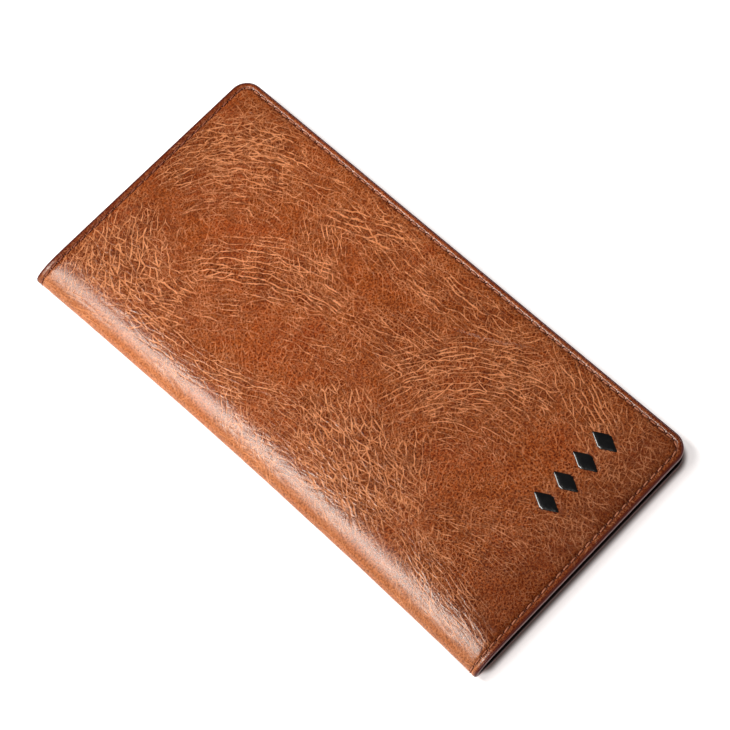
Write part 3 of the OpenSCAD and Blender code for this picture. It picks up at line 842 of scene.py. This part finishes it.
def smooth_leather(name, light, dark, grain=1.0):
    """Thin split leather for the pockets: fine grain, a creased line below each mouth and burnished edges."""
    g = Mat(name)
    P = g.obj()
    P = g.vec("MULTIPLY", P, (1, 1, 0))
    cells = g.cells(g.warp(P, 0.8, 0.8), 1 / (0.85 * grain))
    fine = g.noise(P, 3.0, 3.0, 0.65)
    mot = g.noise(P, 0.09, 3.0, 0.6)
    col = g.mix(g.ramp(mot, 0.30, 0.75, 0.05, 0.55), light, dark)
    col = g.mix(g.ramp(fine, 0.40, 0.72, 0.0, 0.30), col, tuple(min(1, c * 1.9 + 0.01) for c in light))
    col = g.mix(g.ramp(cells, 0.02, 0.16, 0.30, 0.0), col, tuple(c * 0.4 for c in dark))
    m = g.attr("mouth")
    line = g.ramp(g.math("ABSOLUTE", g.math("SUBTRACT", m, 1.7)), 0.12, 0.38, 1.0, 0.0)
    edge = g.ramp(m, 0.12, 0.42, 1.0, 0.0)
    col = g.mix(g.math("MULTIPLY", line, 0.6), col, tuple(c * 0.35 for c in dark))
    col = g.mix(g.math("MULTIPLY", edge, 0.85), col, srgb(30, 14, 10))
    h = g.math("ADD", g.math("MULTIPLY", g.ramp(cells, 0.0, 0.25), 0.020), g.math("MULTIPLY", fine, 0.018))
    h = g.math("SUBTRACT", h, g.math("MULTIPLY", line, 0.09))
    return g.finish(col, g.ramp(fine, 0.3, 0.7, 0.34, 0.46), g.bump(h), Specular_IOR_Level=0.24, Specular_Tint=(1.0, 0.94, 0.86, 1.0))


def edge_paint(name):
    """Burnished edge paint, red-brown on the flat of the edge and darker at its lips, with painted shade: near black on
    the half that faces into the gap between the covers.
    """
    g = Mat(name)
    band = g.attr("band")
    P = g.attr("flat", True)
    n = g.noise(P, 0.8, 3.0, 0.6)
    f = g.noise(P, 4.0, 2.0, 0.6)
    top = g.ramp(g.math("ADD", band, g.math("MULTIPLY", g.math("SUBTRACT", n, 0.5), 0.06)), 0.10, 0.26, 0.0, 1.0)
    low = g.ramp(band, 0.58, 0.74, 1.0, 0.0)
    red = g.mix(g.ramp(n, 0.35, 0.68), srgb(116, 44, 28), srgb(86, 30, 20))
    col = g.mix(g.math("MULTIPLY", top, low), srgb(78, 26, 18), red)
    col = g.mix(g.ramp(f, 0.55, 0.75, 0.0, 0.35), col, srgb(110, 52, 34))
    h = g.math("ADD", g.math("MULTIPLY", n, 0.05), g.math("MULTIPLY", f, 0.02))
    # painted shade: the half of the edge that faces into the gap between the covers is near black
    col = g.mix(g.ramp(band, 0.60, 0.80, 0.0, 0.9), col, srgb(22, 9, 8))
    return g.finish(col, g.ramp(f, 0.3, 0.7, 0.30, 0.42), g.bump(h), Specular_IOR_Level=0.38)


def thread_material(name, a, b):
    g = Mat(name)
    P = g.obj()
    w = g.nt.nodes.new("ShaderNodeTexWave")
    w.wave_type = "BANDS"
    w.bands_direction = "DIAGONAL"
    g.put(w.inputs["Vector"], P)
    w.inputs["Scale"].default_value = 2.6
    w.inputs["Distortion"].default_value = 0.8
    n = g.noise(P, 1.4, 2.0, dims="3D")
    f = g.noise(P, 9.0, 2.0, dims="3D")
    col = g.mix(g.ramp(n, 0.35, 0.68), a, b)
    col = g.mix(g.ramp(f, 0.45, 0.75, 0.0, 0.4), col, tuple(min(1, c * 1.7) for c in a))
    # painted shade: the thread is darker at the far (+Y) end
    sp = g.nt.nodes.new("ShaderNodeSeparateXYZ")
    g.put(sp.inputs[0], P)
    col = g.mix(g.ramp(sp.outputs[1], 91.0, 92.4, 0.0, 0.72), col, srgb(126, 56, 34))
    h = g.math("ADD", g.math("MULTIPLY", w.outputs["Fac"], 0.03), g.math("MULTIPLY", f, 0.02))
    return g.finish(col, 0.55, g.bump(h), Specular_IOR_Level=0.4)


def woven(name, a, b, pitch=0.55):
    """Plain woven lining."""
    g = Mat(name)
    P = g.attr("flat", True)
    sx = g.nt.nodes.new("ShaderNodeSeparateXYZ")
    g.put(sx.inputs[0], g.warp(P, 0.3, 0.25))
    k = 2 * math.pi / pitch
    u = g.math("SINE", g.math("MULTIPLY", sx.outputs[0], k))
    v = g.math("SINE", g.math("MULTIPLY", sx.outputs[1], k))
    over = g.math("MULTIPLY", u, v)
    n = g.noise(P, 0.4, 3.0)
    col = g.mix(g.ramp(over, -0.6, 0.6), a, b)
    col = g.mix(g.ramp(n, 0.4, 0.7, 0.0, 0.4), col, tuple(c * 1.6 for c in b))
    h = g.math("MULTIPLY", g.math("ADD", g.math("ABSOLUTE", u), g.math("ABSOLUTE", v)), 0.03)
    return g.finish(col, 0.72, g.bump(h), Specular_IOR_Level=0.3, Sheen_Weight=0.15)


def board_material(name):
    g = Mat(name)
    P = g.vec("MULTIPLY", g.obj(), (1, 1, 1))
    n = g.noise(g.vec("MULTIPLY", P, (1, 0.25, 1)), 2.0, 4.0, dims="3D")
    col = g.mix(g.ramp(n, 0.35, 0.65), srgb(150, 122, 84), srgb(118, 92, 60))
    return g.finish(col, 0.85, g.bump(g.math("MULTIPLY", n, 0.05)))


def foam_material(name):
    g = Mat(name)
    P = g.obj()
    c = g.cells(P, 2.2, feature="F1", dims="3D")
    n = g.noise(P, 1.0, 3.0, dims="3D")
    col = g.mix(g.ramp(c, 0.1, 0.6), srgb(88, 88, 92), srgb(132, 132, 136))
    return g.finish(col, 0.9, g.bump(g.math("ADD", g.math("MULTIPLY", c, -0.08), g.math("MULTIPLY", n, 0.03))))


def film_material(name):
    g = Mat(name)
    P = g.obj()
    n = g.noise(P, 0.06, 2.0, dims="3D")
    f = g.noise(P, 0.9, 3.0, dims="3D")
    h = g.math("ADD", g.math("MULTIPLY", n, 0.12), g.math("MULTIPLY", f, 0.0006))
    return g.finish(g.mix(g.ramp(f, 0.4, 0.7, 0.0, 0.5), (0.93, 0.95, 0.96), (0.86, 0.90, 0.92)), 0.06, g.bump(h),
                    IOR=1.46, Transmission_Weight=0.95)


def foil_material(name):
    g = Mat(name)
    P = g.obj()
    n = g.noise(P, 0.35, 2.0, dims="3D")
    f = g.noise(P, 2.5, 3.0, dims="3D")
    col = g.mix(g.ramp(n, 0.4, 0.65), (0.0015, 0.0015, 0.002), (0.004, 0.004, 0.004))
    h = g.math("ADD", g.math("MULTIPLY", n, 0.05), g.math("MULTIPLY", f, 0.008))
    return g.finish(col, g.ramp(f, 0.3, 0.7, 0.14, 0.24), g.bump(h), Specular_IOR_Level=0.40, Coat_Weight=0.35, Coat_Roughness=0.10)


def floor_material(name):
    """Pale floor with a painted glow away from the foot of the object; the glow fades out at the foot as a painted
    contact shadow.
    """
    g = Mat(name)
    P = g.obj(1000.0)
    n = g.noise(P, 0.003, 2.0, dims="3D")
    sp = g.nt.nodes.new("ShaderNodeSeparateXYZ")
    g.put(sp.inputs[0], P)
    # the fold bows in and turns under, so the painted glow reaches right up to it
    yy = g.math("DIVIDE", sp.outputs[1], HL)
    inset = g.math("ADD", g.math("MULTIPLY", g.math("SUBTRACT", 1.0, g.math("MULTIPLY", yy, yy)), BOW), 1.3)
    inset = g.math("MULTIPLY", g.math("MAXIMUM", inset, 0.0), g.ramp(sp.outputs[0], -38.0, -44.0))
    dx = g.math("MAXIMUM", g.math("SUBTRACT", g.math("ADD", g.math("ABSOLUTE", sp.outputs[0]), inset), HW - CORNER_R), 0.0)
    dy = g.math("MAXIMUM", g.math("SUBTRACT", g.math("ABSOLUTE", sp.outputs[1]), HL - CORNER_R), 0.0)
    d = g.math("SUBTRACT", g.math("SQRT", g.math("ADD", g.math("MULTIPLY", dx, dx), g.math("MULTIPLY", dy, dy))), CORNER_R)
    col = g.mix(n, (0.70, 0.70, 0.70), (0.72, 0.72, 0.72))
    # painted shade: a warm shadow tint on the floor beside the near (-Y) edge
    near = g.ramp(sp.outputs[1], -86.0, -94.0)
    col = g.mix(g.math("MULTIPLY", near, g.ramp(d, 0.0, 5.0, 0.75, 0.0)), col, (0.60, 0.42, 0.35))
    # painted light: the floor glows, and the glow fades out near the foot as a painted contact shadow
    g.put(g.p.inputs["Emission Strength"], g.ramp(d, 0.0, g.math("ADD", 1.3, g.math("MULTIPLY", near, 0.9)), 0.02, 0.68))
    return g.finish(col, 0.75, None, Specular_IOR_Level=0.2,
                    Emission_Color=(1.0, 0.955, 0.945, 1.0))


M_COVER = crackle_leather("crackle_leather")
M_SLOT = smooth_leather("slot_leather", srgb(138, 66, 30), srgb(102, 44, 18))
M_PAINT = edge_paint("edge_paint")
M_THREAD = thread_material("tan_thread", srgb(190, 120, 86), srgb(152, 82, 50))
M_LINING = woven("lining_weave", srgb(26, 22, 21), srgb(46, 40, 38))
M_BOARD = board_material("fibre_board")
M_FOAM = foam_material("pad_foam")
M_FILM = film_material("clear_film")
M_FOIL = foil_material("gloss_black")


def give(ob, mat):
    ob.data.materials.clear()
    ob.data.materials.append(mat)
    return ob


def bend(ob):
    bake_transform(ob)


Z_LEATHER, Z_BOARD, Z_LINING, Z_NOTE, Z_SHEET = 1.5, 2.1, 2.4, 2.7, 3.0
PANEL_IN, PANEL_X0 = 1.0, FX + 0.7
PAD_X = FX + 8.5
SLOPE = 0.34 / 17
LEAF_T, DEPTH = 0.3, 50.0


def make_lining(name, rear):
    """Woven lining on the inside of a cover and round the inside of the fold."""
    r = FOLD_R - 1.0 - 0.03
    phi = np.radians(np.linspace(180, 90, 16))
    out = [(FX + r * math.cos(a), ZC + r * math.sin(a)) for a in phi]
    zi = T - Z_BOARD
    out += [(-40.5, T - 1.80), (-37.5, T - 1.70), (-35.6, T - 1.92), (-34.5, zi)]
    x_end = HW - 0.30
    out += [(x, zi) for x in steps(-33.0, x_end, 2.5)]
    out = np.array(out)
    d = np.gradient(out, axis=0)
    d /= np.hypot(d[:, 0], d[:, 1])[:, None]
    inn = out + np.stack([d[:, 1], -d[:, 0]], 1) * 0.29
    sec = np.concatenate([out, inn[::-1]])
    arc = np.r_[0, np.cumsum(np.hypot(*np.diff(out, axis=0).T))]
    arc = np.r_[arc, arc[::-1]]
    rows = np.r_[-HL + 0.3, steps(-HL + 1.2, HL - 1.2, 3.0), HL - 0.3]
    v, fl = [], []
    for y in rows:
        for (x, z), a in zip(sec, arc):
            xx, yy = x, y
            # rounded corners at the open edge
            if x > HW - CORNER_R and abs(y) > HL - CORNER_R:
                aa, bb = (x - HW + CORNER_R) / CORNER_R, (abs(y) - HL + CORNER_R) / CORNER_R
                xx = HW - CORNER_R + CORNER_R * aa * math.sqrt(1 - bb * bb / 2)
                yy = math.copysign(HL - CORNER_R + CORNER_R * bb * math.sqrt(1 - aa * aa / 2), y)
            v.append((xx + float(bow(xx, yy)), yy, z))
            fl.append((a, yy, 0))
    k, n = len(sec), len(rows)
    f = [(i * k + j, i * k + (j + 1) % k, (i + 1) * k + (j + 1) % k, (i + 1) * k + j) for i in range(n - 1) for j in range(k)]
    f.append(tuple(range(k - 1, -1, -1)))
    f.append(tuple((n - 1) * k + j for j in range(k)))
    v = np.array(v)
    if rear:
        v = to_rear(v)
        f = [q[::-1] for q in f]
    return build(name, v, f, {"flat": np.array(fl)}, sharp=50)


def page_wave(x, y, seed):
    return 0.05 * perlin(x / 21, y / 17, seed)


def half(rear):
    tag = "rear" if rear else "front"
    body = tag + "_cover"
    made = []

    def keep(ob, mat, *nodes, slot=None, bendy=False):
        give(ob, mat)
        if bendy:
            bend(ob)
        else:
            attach(ob, body)
        if nodes:
            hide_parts(*nodes)
        made.append(ob)
        return ob

    skin = make_skin(f"{tag}_leather_skin", rear)
    keep(skin, M_COVER, f"{tag}_cover_leather", slot="cover_leather", bendy=True)
    keep(make_edge_bead(f"{tag}_painted_edge", rear), M_PAINT, f"{tag}_edge_paint", slot="edge_paint", bendy=True)
    keep(make_thread(f"{tag}_seam_thread", rear), M_THREAD, f"{tag}_stitching", slot="thread", bendy=True)
    keep(make_lining(f"{tag}_lining_cloth", rear), M_LINING, f"{tag}_cover_lining", slot="lining", bendy=True)
    keep(layer(f"{tag}_foam", [flat_outline(SEAM + 2.6, PAD_X + 1.3)], 1.05, 1.45, 0.15, rear=rear), M_FOAM, f"{tag}_foam_pad", slot="foam")
    give(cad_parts[f"{tag}_stiffener_board"], M_BOARD)

    # note pocket rim: three strips
    rim = []
    w = 2.4
    lo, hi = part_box(f"{tag}_note_pocket_rim")
    x0, x1, y1 = lo.x * 1000, hi.x * 1000, hi.y * 1000
    r = CORNER_R - PANEL_IN
    outer = flat_outline(PANEL_IN, x0)
    loop = ([(x0, -y1)] + outer[1:-1] + [(x0, y1), (x0, y1 - w), (x1 - r, y1 - w)]
            + [(x1 - r + (r - w) * math.cos(a), y1 - r + (r - w) * math.sin(a)) for a in np.linspace(math.pi / 2, 0, 8)[1:]]
            + [(x1 - r + (r - w) * math.cos(a), -y1 + r + (r - w) * math.sin(a)) for a in np.linspace(0, -math.pi / 2, 8)]
            + [(x0, -y1 + w)])
    keep(layer(f"{tag}_pocket_rim", [loop], Z_LINING, Z_NOTE, 0.08, attrs={"mouth": lambda c: np.full(len(c), 9.0)}, rear=rear),
         M_SLOT, f"{tag}_note_pocket_rim", slot="slot_leather")
    sheet = layer(f"{tag}_page", [flat_outline(PANEL_IN, PANEL_X0)], Z_NOTE, Z_SHEET, 0.10,
                  attrs={"mouth": lambda c: c[:, 0] - PANEL_X0}, rear=rear)
    keep(sheet, M_SLOT, f"{tag}_card_sheet", slot="slot_leather")

    # card leaves
    names = [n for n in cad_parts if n.startswith(f"{tag}_card_leaf_")]
    n_leaf = len(names)
    tops = []
    for i in range(1, n_leaf + 1):
        node = f"{tag}_card_leaf_{i}"
        lo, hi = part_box(node)
        mouth = hi.y * 1000
        tops.append(mouth)
        foot = mouth - DEPTH
        y_low = max(lo.y * 1000, foot if i < n_leaf else -HL)
        outline = clip_y(flat_outline(PANEL_IN, PANEL_X0), y_low, mouth)
        # extra rows keep the bend at the foot of the last leaf
        lift = lambda x, y, foot=foot: SLOPE * np.clip(y - foot, 0, None)
        if i == n_leaf and lo.y * 1000 < foot - 0.5:
            upper = clip_y(flat_outline(PANEL_IN, PANEL_X0), foot, mouth)
            lower = clip_y(flat_outline(PANEL_IN, PANEL_X0), lo.y * 1000, foot)
            k = keep(layer(f"{tag}_slot_{i}", [upper], Z_SHEET, Z_SHEET + LEAF_T, 0.11, lift=lift,
                           attrs={"mouth": lambda c, m=mouth: m - c[:, 1]}, rear=rear), M_SLOT, node, slot="slot_leather")
            keep(layer(f"{tag}_slot_{i}_foot", [lower], Z_SHEET, Z_SHEET + LEAF_T, 0.0005,
                       attrs={"mouth": lambda c, m=mouth: m - c[:, 1]}, rear=rear), M_SLOT, slot="slot_leather")
        else:
            keep(layer(f"{tag}_slot_{i}", [outline], Z_SHEET, Z_SHEET + LEAF_T, 0.11, lift=lift,
                       attrs={"mouth": lambda c, m=mouth: m - c[:, 1]}, rear=rear), M_SLOT, node, slot="slot_leather")

    # seams on the page: the outer seam comes through, and a second one closes the slots beside the fold
    def page_top(x, y):
        """Height of the page under a stitch."""
        z = Z_SHEET
        if not rear and y > tops[0] + 4.9:
            return Z_SHEET + 0.8
        for i, m in enumerate(tops):
            foot = m - DEPTH
            if y <= m and (y >= foot or i == len(tops) - 1):
                z = max(z, Z_SHEET + LEAF_T + SLOPE * max(0.0, y - foot))
        return z

    rng = np.random.default_rng(31 if rear else 32)
    parts = []

    def run(p0, p1, pitch=3.2, length=2.5):
        p0, p1 = np.array(p0, float), np.array(p1, float)
        n = int(round(np.linalg.norm(p1 - p0) / pitch))
        d = (p1 - p0) / n
        for i in range(n):
            c = p0 + d * (i + 0.5)
            a, b = c - d * 0.3, c + d * 0.3
            z, za, zb = page_top(*c), page_top(*a), page_top(*b)
            if abs(zb - za) > 0.2:
                za = zb = z
            parts.append(stitch(np.array([c[0], c[1], z]), np.array([b[0] - a[0], b[1] - a[1], zb - za]), np.array([0, 0, 1.0]),
                                length + rng.normal(0, 0.04), 0.20, 0.14, 0.10, math.radians(4 + rng.normal(0, 1.5)), k=7, seg=6))

    run((PANEL_X0 + 1.0, HL - SEAM), (HW - CORNER_R, HL - SEAM))
    run((HW - SEAM, HL - CORNER_R), (HW - SEAM, -HL + CORNER_R))
    run((HW - CORNER_R, -HL + SEAM), (PANEL_X0 + 1.0, -HL + SEAM))
    run((PANEL_X0 + 1.5, tops[0] - 1.2), (PANEL_X0 + 1.5, -HL + SEAM + 1.2))
    v, f = join_parts(parts)
    if not rear:
        v = to_rear(v)
        f = [q[::-1] for q in f]
    keep(build(f"{tag}_page_thread", v, f), M_THREAD, slot="thread")
    return made


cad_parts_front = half(False)
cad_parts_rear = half(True)

# identity window on the front half
lo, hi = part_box("id_window_frame")
fx0, fx1, fy0, fy1 = lo.x * 1000, hi.x * 1000, lo.y * 1000, hi.y * 1000
flo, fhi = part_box("id_window_film")
wx, wy = (flo.x + fhi.x) * 500, (flo.y + fhi.y) * 500
ww, wl = (fhi.x - flo.x) * 1000 - 12, (fhi.y - flo.y) * 1000 - 7
outer = clip_y(flat_outline(PANEL_IN, PANEL_X0), fy0, fy1)
inner = rounded_box(wx - ww / 2, wx + ww / 2, wy - wl / 2, wy + wl / 2, 4.0, 10)


def window_edge(c):
    dx, dy = np.abs(c[:, 0] - wx) - ww / 2, np.abs(c[:, 1] - wy) - wl / 2
    return np.where((dx < 0) | (dy < 0), np.maximum(dx, dy), np.hypot(dx, dy)) + 0.0


frame_ob = layer("window_frame", [outer, inner], Z_SHEET + 0.5, Z_SHEET + 0.8, 0.11, attrs={"mouth": window_edge}, rear=False)
give(frame_ob, M_SLOT)
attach(frame_ob, "front_cover")
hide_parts("id_window_frame")
pocket = [rounded_box(PANEL_X0 + 0.2, fx1 - 0.2, fy0 + 0.2, fy1 - 0.2, 1.0)]
rails = clip_y(flat_outline(PANEL_IN + 0.05, PANEL_X0 + 0.1), fy0 + 0.1, fy1)
hole = rounded_box(PANEL_X0 + 1.2, wx + ww / 2 + 6.5, wy - wl / 2 - 4, wy + wl / 2 + 4, 0.6, 4)
rail_ob = layer("window_pocket_rim", [rails, hole], Z_SHEET, Z_SHEET + 0.5, 0.12, attrs={"mouth": lambda c: np.full(len(c), 9.0)}, rear=False)
give(rail_ob, M_SLOT)
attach(rail_ob, "front_cover")
film = layer("window_film", [rounded_box(flo.x * 1000, fhi.x * 1000, flo.y * 1000, fhi.y * 1000, 2.0)], T - fhi.z * 1000, T - flo.z * 1000, 0.05, rear=False)
give(film, M_FILM)
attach(film, "front_cover")
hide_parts("id_window_film")

# window seam
parts = []
loop = np.array(rounded_box(wx - ww / 2 - 2, wx + ww / 2 + 2, wy - wl / 2 - 2, wy + wl / 2 + 2, 6.0, 12))
loop = np.concatenate([loop, loop[:1]])
seg = np.r_[0, np.cumsum(np.hypot(*np.diff(loop, axis=0).T))]
count = int(round(seg[-1] / 3.2))
rng = np.random.default_rng(77)
for i in range(count):
    a = (i + 0.5) * seg[-1] / count
    c = [np.interp(a, seg, loop[:, k]) for k in (0, 1)]
    p1 = [np.interp(a - 0.5, seg, loop[:, k]) for k in (0, 1)]
    p2 = [np.interp(a + 0.5, seg, loop[:, k]) for k in (0, 1)]
    parts.append(stitch(np.array([*c, Z_SHEET + 0.8]), np.array([p2[0] - p1[0], p2[1] - p1[1], 0.0]), np.array([0, 0, 1.0]),
                        2.5, 0.20, 0.14, 0.10, math.radians(4 + rng.normal(0, 1.5)), k=7, seg=6))
v, f = join_parts(parts)
win_thread = build("window_thread", to_rear(v), [q[::-1] for q in f])
give(win_thread, M_THREAD)
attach(win_thread, "front_cover")

# ------------------------------------------------------------------ pressed mark
parts = []
for mx in MARKS:
    a, b = MARK_W / 2, MARK_H / 2
    rings = [(1.0, -0.28), (1.0, -0.03), (0.96, 0.045), (0.88, 0.10), (0.78, 0.155), (0.62, 0.215), (0.45, 0.245), (0.22, 0.262)]
    per = 12
    corners = [(a, 0), (0, b), (-a, 0), (0, -b)]
    v = []
    for k, z in rings:
        inset = (1 - k) * min(a, b)
        ring = []
        for (x0, y0), (x1, y1) in zip(corners, corners[1:] + corners[:1]):
            for t in np.arange(per) / per:
                ring.append((x0 + (x1 - x0) * t, y0 + (y1 - y0) * t))
        ring = np.array(ring)
        # soften the four points
        soft = 0.35
        near = np.minimum(np.arange(len(ring)) % per, per - np.arange(len(ring)) % per)
        pull = np.where(near == 0, 1 - soft / np.maximum(np.hypot(*ring.T), 0.1), 1)
        ring = ring * (pull * k)[:, None]
        v += [(mx + x, MARK_Y + y, T + z - 0.03) for x, y in ring]
    m = 4 * per
    f = [(i * m + j, i * m + (j + 1) % m, (i + 1) * m + (j + 1) % m, (i + 1) * m + j) for i in range(len(rings) - 1) for j in range(m)]
    v.append((mx, MARK_Y, T + 0.265 - 0.03))
    f += [((len(rings) - 1) * m + j, (len(rings) - 1) * m + (j + 1) % m, len(rings) * m) for j in range(m)]
    f.append(tuple(range(m - 1, -1, -1)))
    parts.append((v, f))
v, f = join_parts(parts)
mark = build("lozenge_mark", v, f, sharp=60)
give(mark, M_FOIL)
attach(mark, "front_cover")
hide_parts("pressed_mark")


# ------------------------------------------------------------------ spine: its CAD solids are stood for by the skins, edges, threads and linings that meet on it
def make_spine_tape():
    """Reinforcing strip behind the leather at the fold."""
    r0, r1 = FOLD_R - 0.62, FOLD_R - 0.95
    phi = np.radians(np.linspace(222, 138, 22))
    rows = steps(-HL + 1.0, HL - 1.0, 3.0)
    v, fl = [], []
    for y in rows:
        dx = float(bow(FX, y))
        for r, ph in ((r0, phi), (r1, phi[::-1])):
            for a in ph:
                v.append((FX + r * math.cos(a) + dx, y, ZC + r * math.sin(a)))
                fl.append((a * r, y, 0))
    k, n = 2 * len(phi), len(rows)
    f = [(i * k + j, i * k + (j + 1) % k, (i + 1) * k + (j + 1) % k, (i + 1) * k + j) for i in range(n - 1) for j in range(k)]
    f.append(tuple(range(k - 1, -1, -1)))
    f.append(tuple((n - 1) * k + j for j in range(k)))
    return build("spine_backing_strip", v, [q[::-1] for q in f], {"flat": np.array(fl)}, sharp=50)


tape = make_spine_tape()
give(tape, M_LINING)
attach(tape, "spine")
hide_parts("spine_leather", "spine_lining", "spine_edge_paint", "spine_stitching")

# ------------------------------------------------------------------ stage, light and camera
fm = bpy.data.meshes.new("floor")
fm.from_pydata([(x * 4.0, y * 4.0, -0.0001) for x, y in ((-1, -1), (1, -1), (1, 1), (-1, 1))], [], [(0, 1, 2, 3)])
floor = bpy.data.objects.new("floor", fm)
scene.collection.objects.link(floor)
give(floor, floor_material("pale_floor"))

world = bpy.data.worlds.new("studio")
world.use_nodes = True
world.node_tree.nodes["Background"].inputs[0].default_value = (1.0, 0.985, 0.97, 1)
world.node_tree.nodes["Background"].inputs[1].default_value = 0.11
scene.world = world


def area(name, loc, target, sx, sy, power, colour=(1, 1, 1)):
    li = bpy.data.lights.new(name, "AREA")
    li.shape = "RECTANGLE"
    li.size, li.size_y = sx, sy
    li.energy = power
    li.color = colour
    ob = bpy.data.objects.new(name, li)
    ob.location = loc
    d = Vector(target) - Vector(loc)
    z = -d.normalized()
    y = Vector((0, 1, 0)) - z * z.y
    y.normalize()
    x = y.cross(z)
    ob.matrix_world = Matrix.Translation(loc) @ Matrix((x, y, z)).transposed().to_4x4()
    scene.collection.objects.link(ob)
    return ob


area("key_softbox", (-0.26, 0.31, 0.72), (-0.02, 0, 0), 0.21, 0.56, 7.85, (1.0, 0.985, 0.96))
# seen only as a reflection along the near half of the fold
glint = area("fold_glint", (-0.27, 0.12, 0.73), (-0.03, -0.03, 0), 0.21, 0.40, 2.5, (1.0, 0.985, 0.96))
glint.visible_diffuse = False
area("left_fill", (-0.90, 0.20, 0.18), (0, 0, 0), 0.34, 1.4, 3.1)

# camera
cam = bpy.data.cameras.new("camera")
cam.sensor_width = 36.0
cam.lens = 2382 * 36 / 730
cam.clip_end = 20
cam_ob = bpy.data.objects.new("camera", cam)
scene.collection.objects.link(cam_ob)
az, el, roll = math.radians(-33.84), math.radians(67.255), math.radians(-13.115)
back = Vector((math.sin(az) * math.cos(el), -math.cos(az) * math.cos(el), math.sin(el)))
right = (-back).cross(Vector((0, 0, 1))).normalized()
up = right.cross(-back)
# the picture is turned so that the vertical leans left
x_axis = right * math.cos(roll) + up * math.sin(roll)
y_axis = up * math.cos(roll) - right * math.sin(roll)
cam_ob.matrix_world = Matrix.Translation((-0.156366, -0.238314, 0.680844)) @ Matrix((x_axis, y_axis, back)).transposed().to_4x4()
scene.camera = cam_ob

bpy.context.view_layer.update()
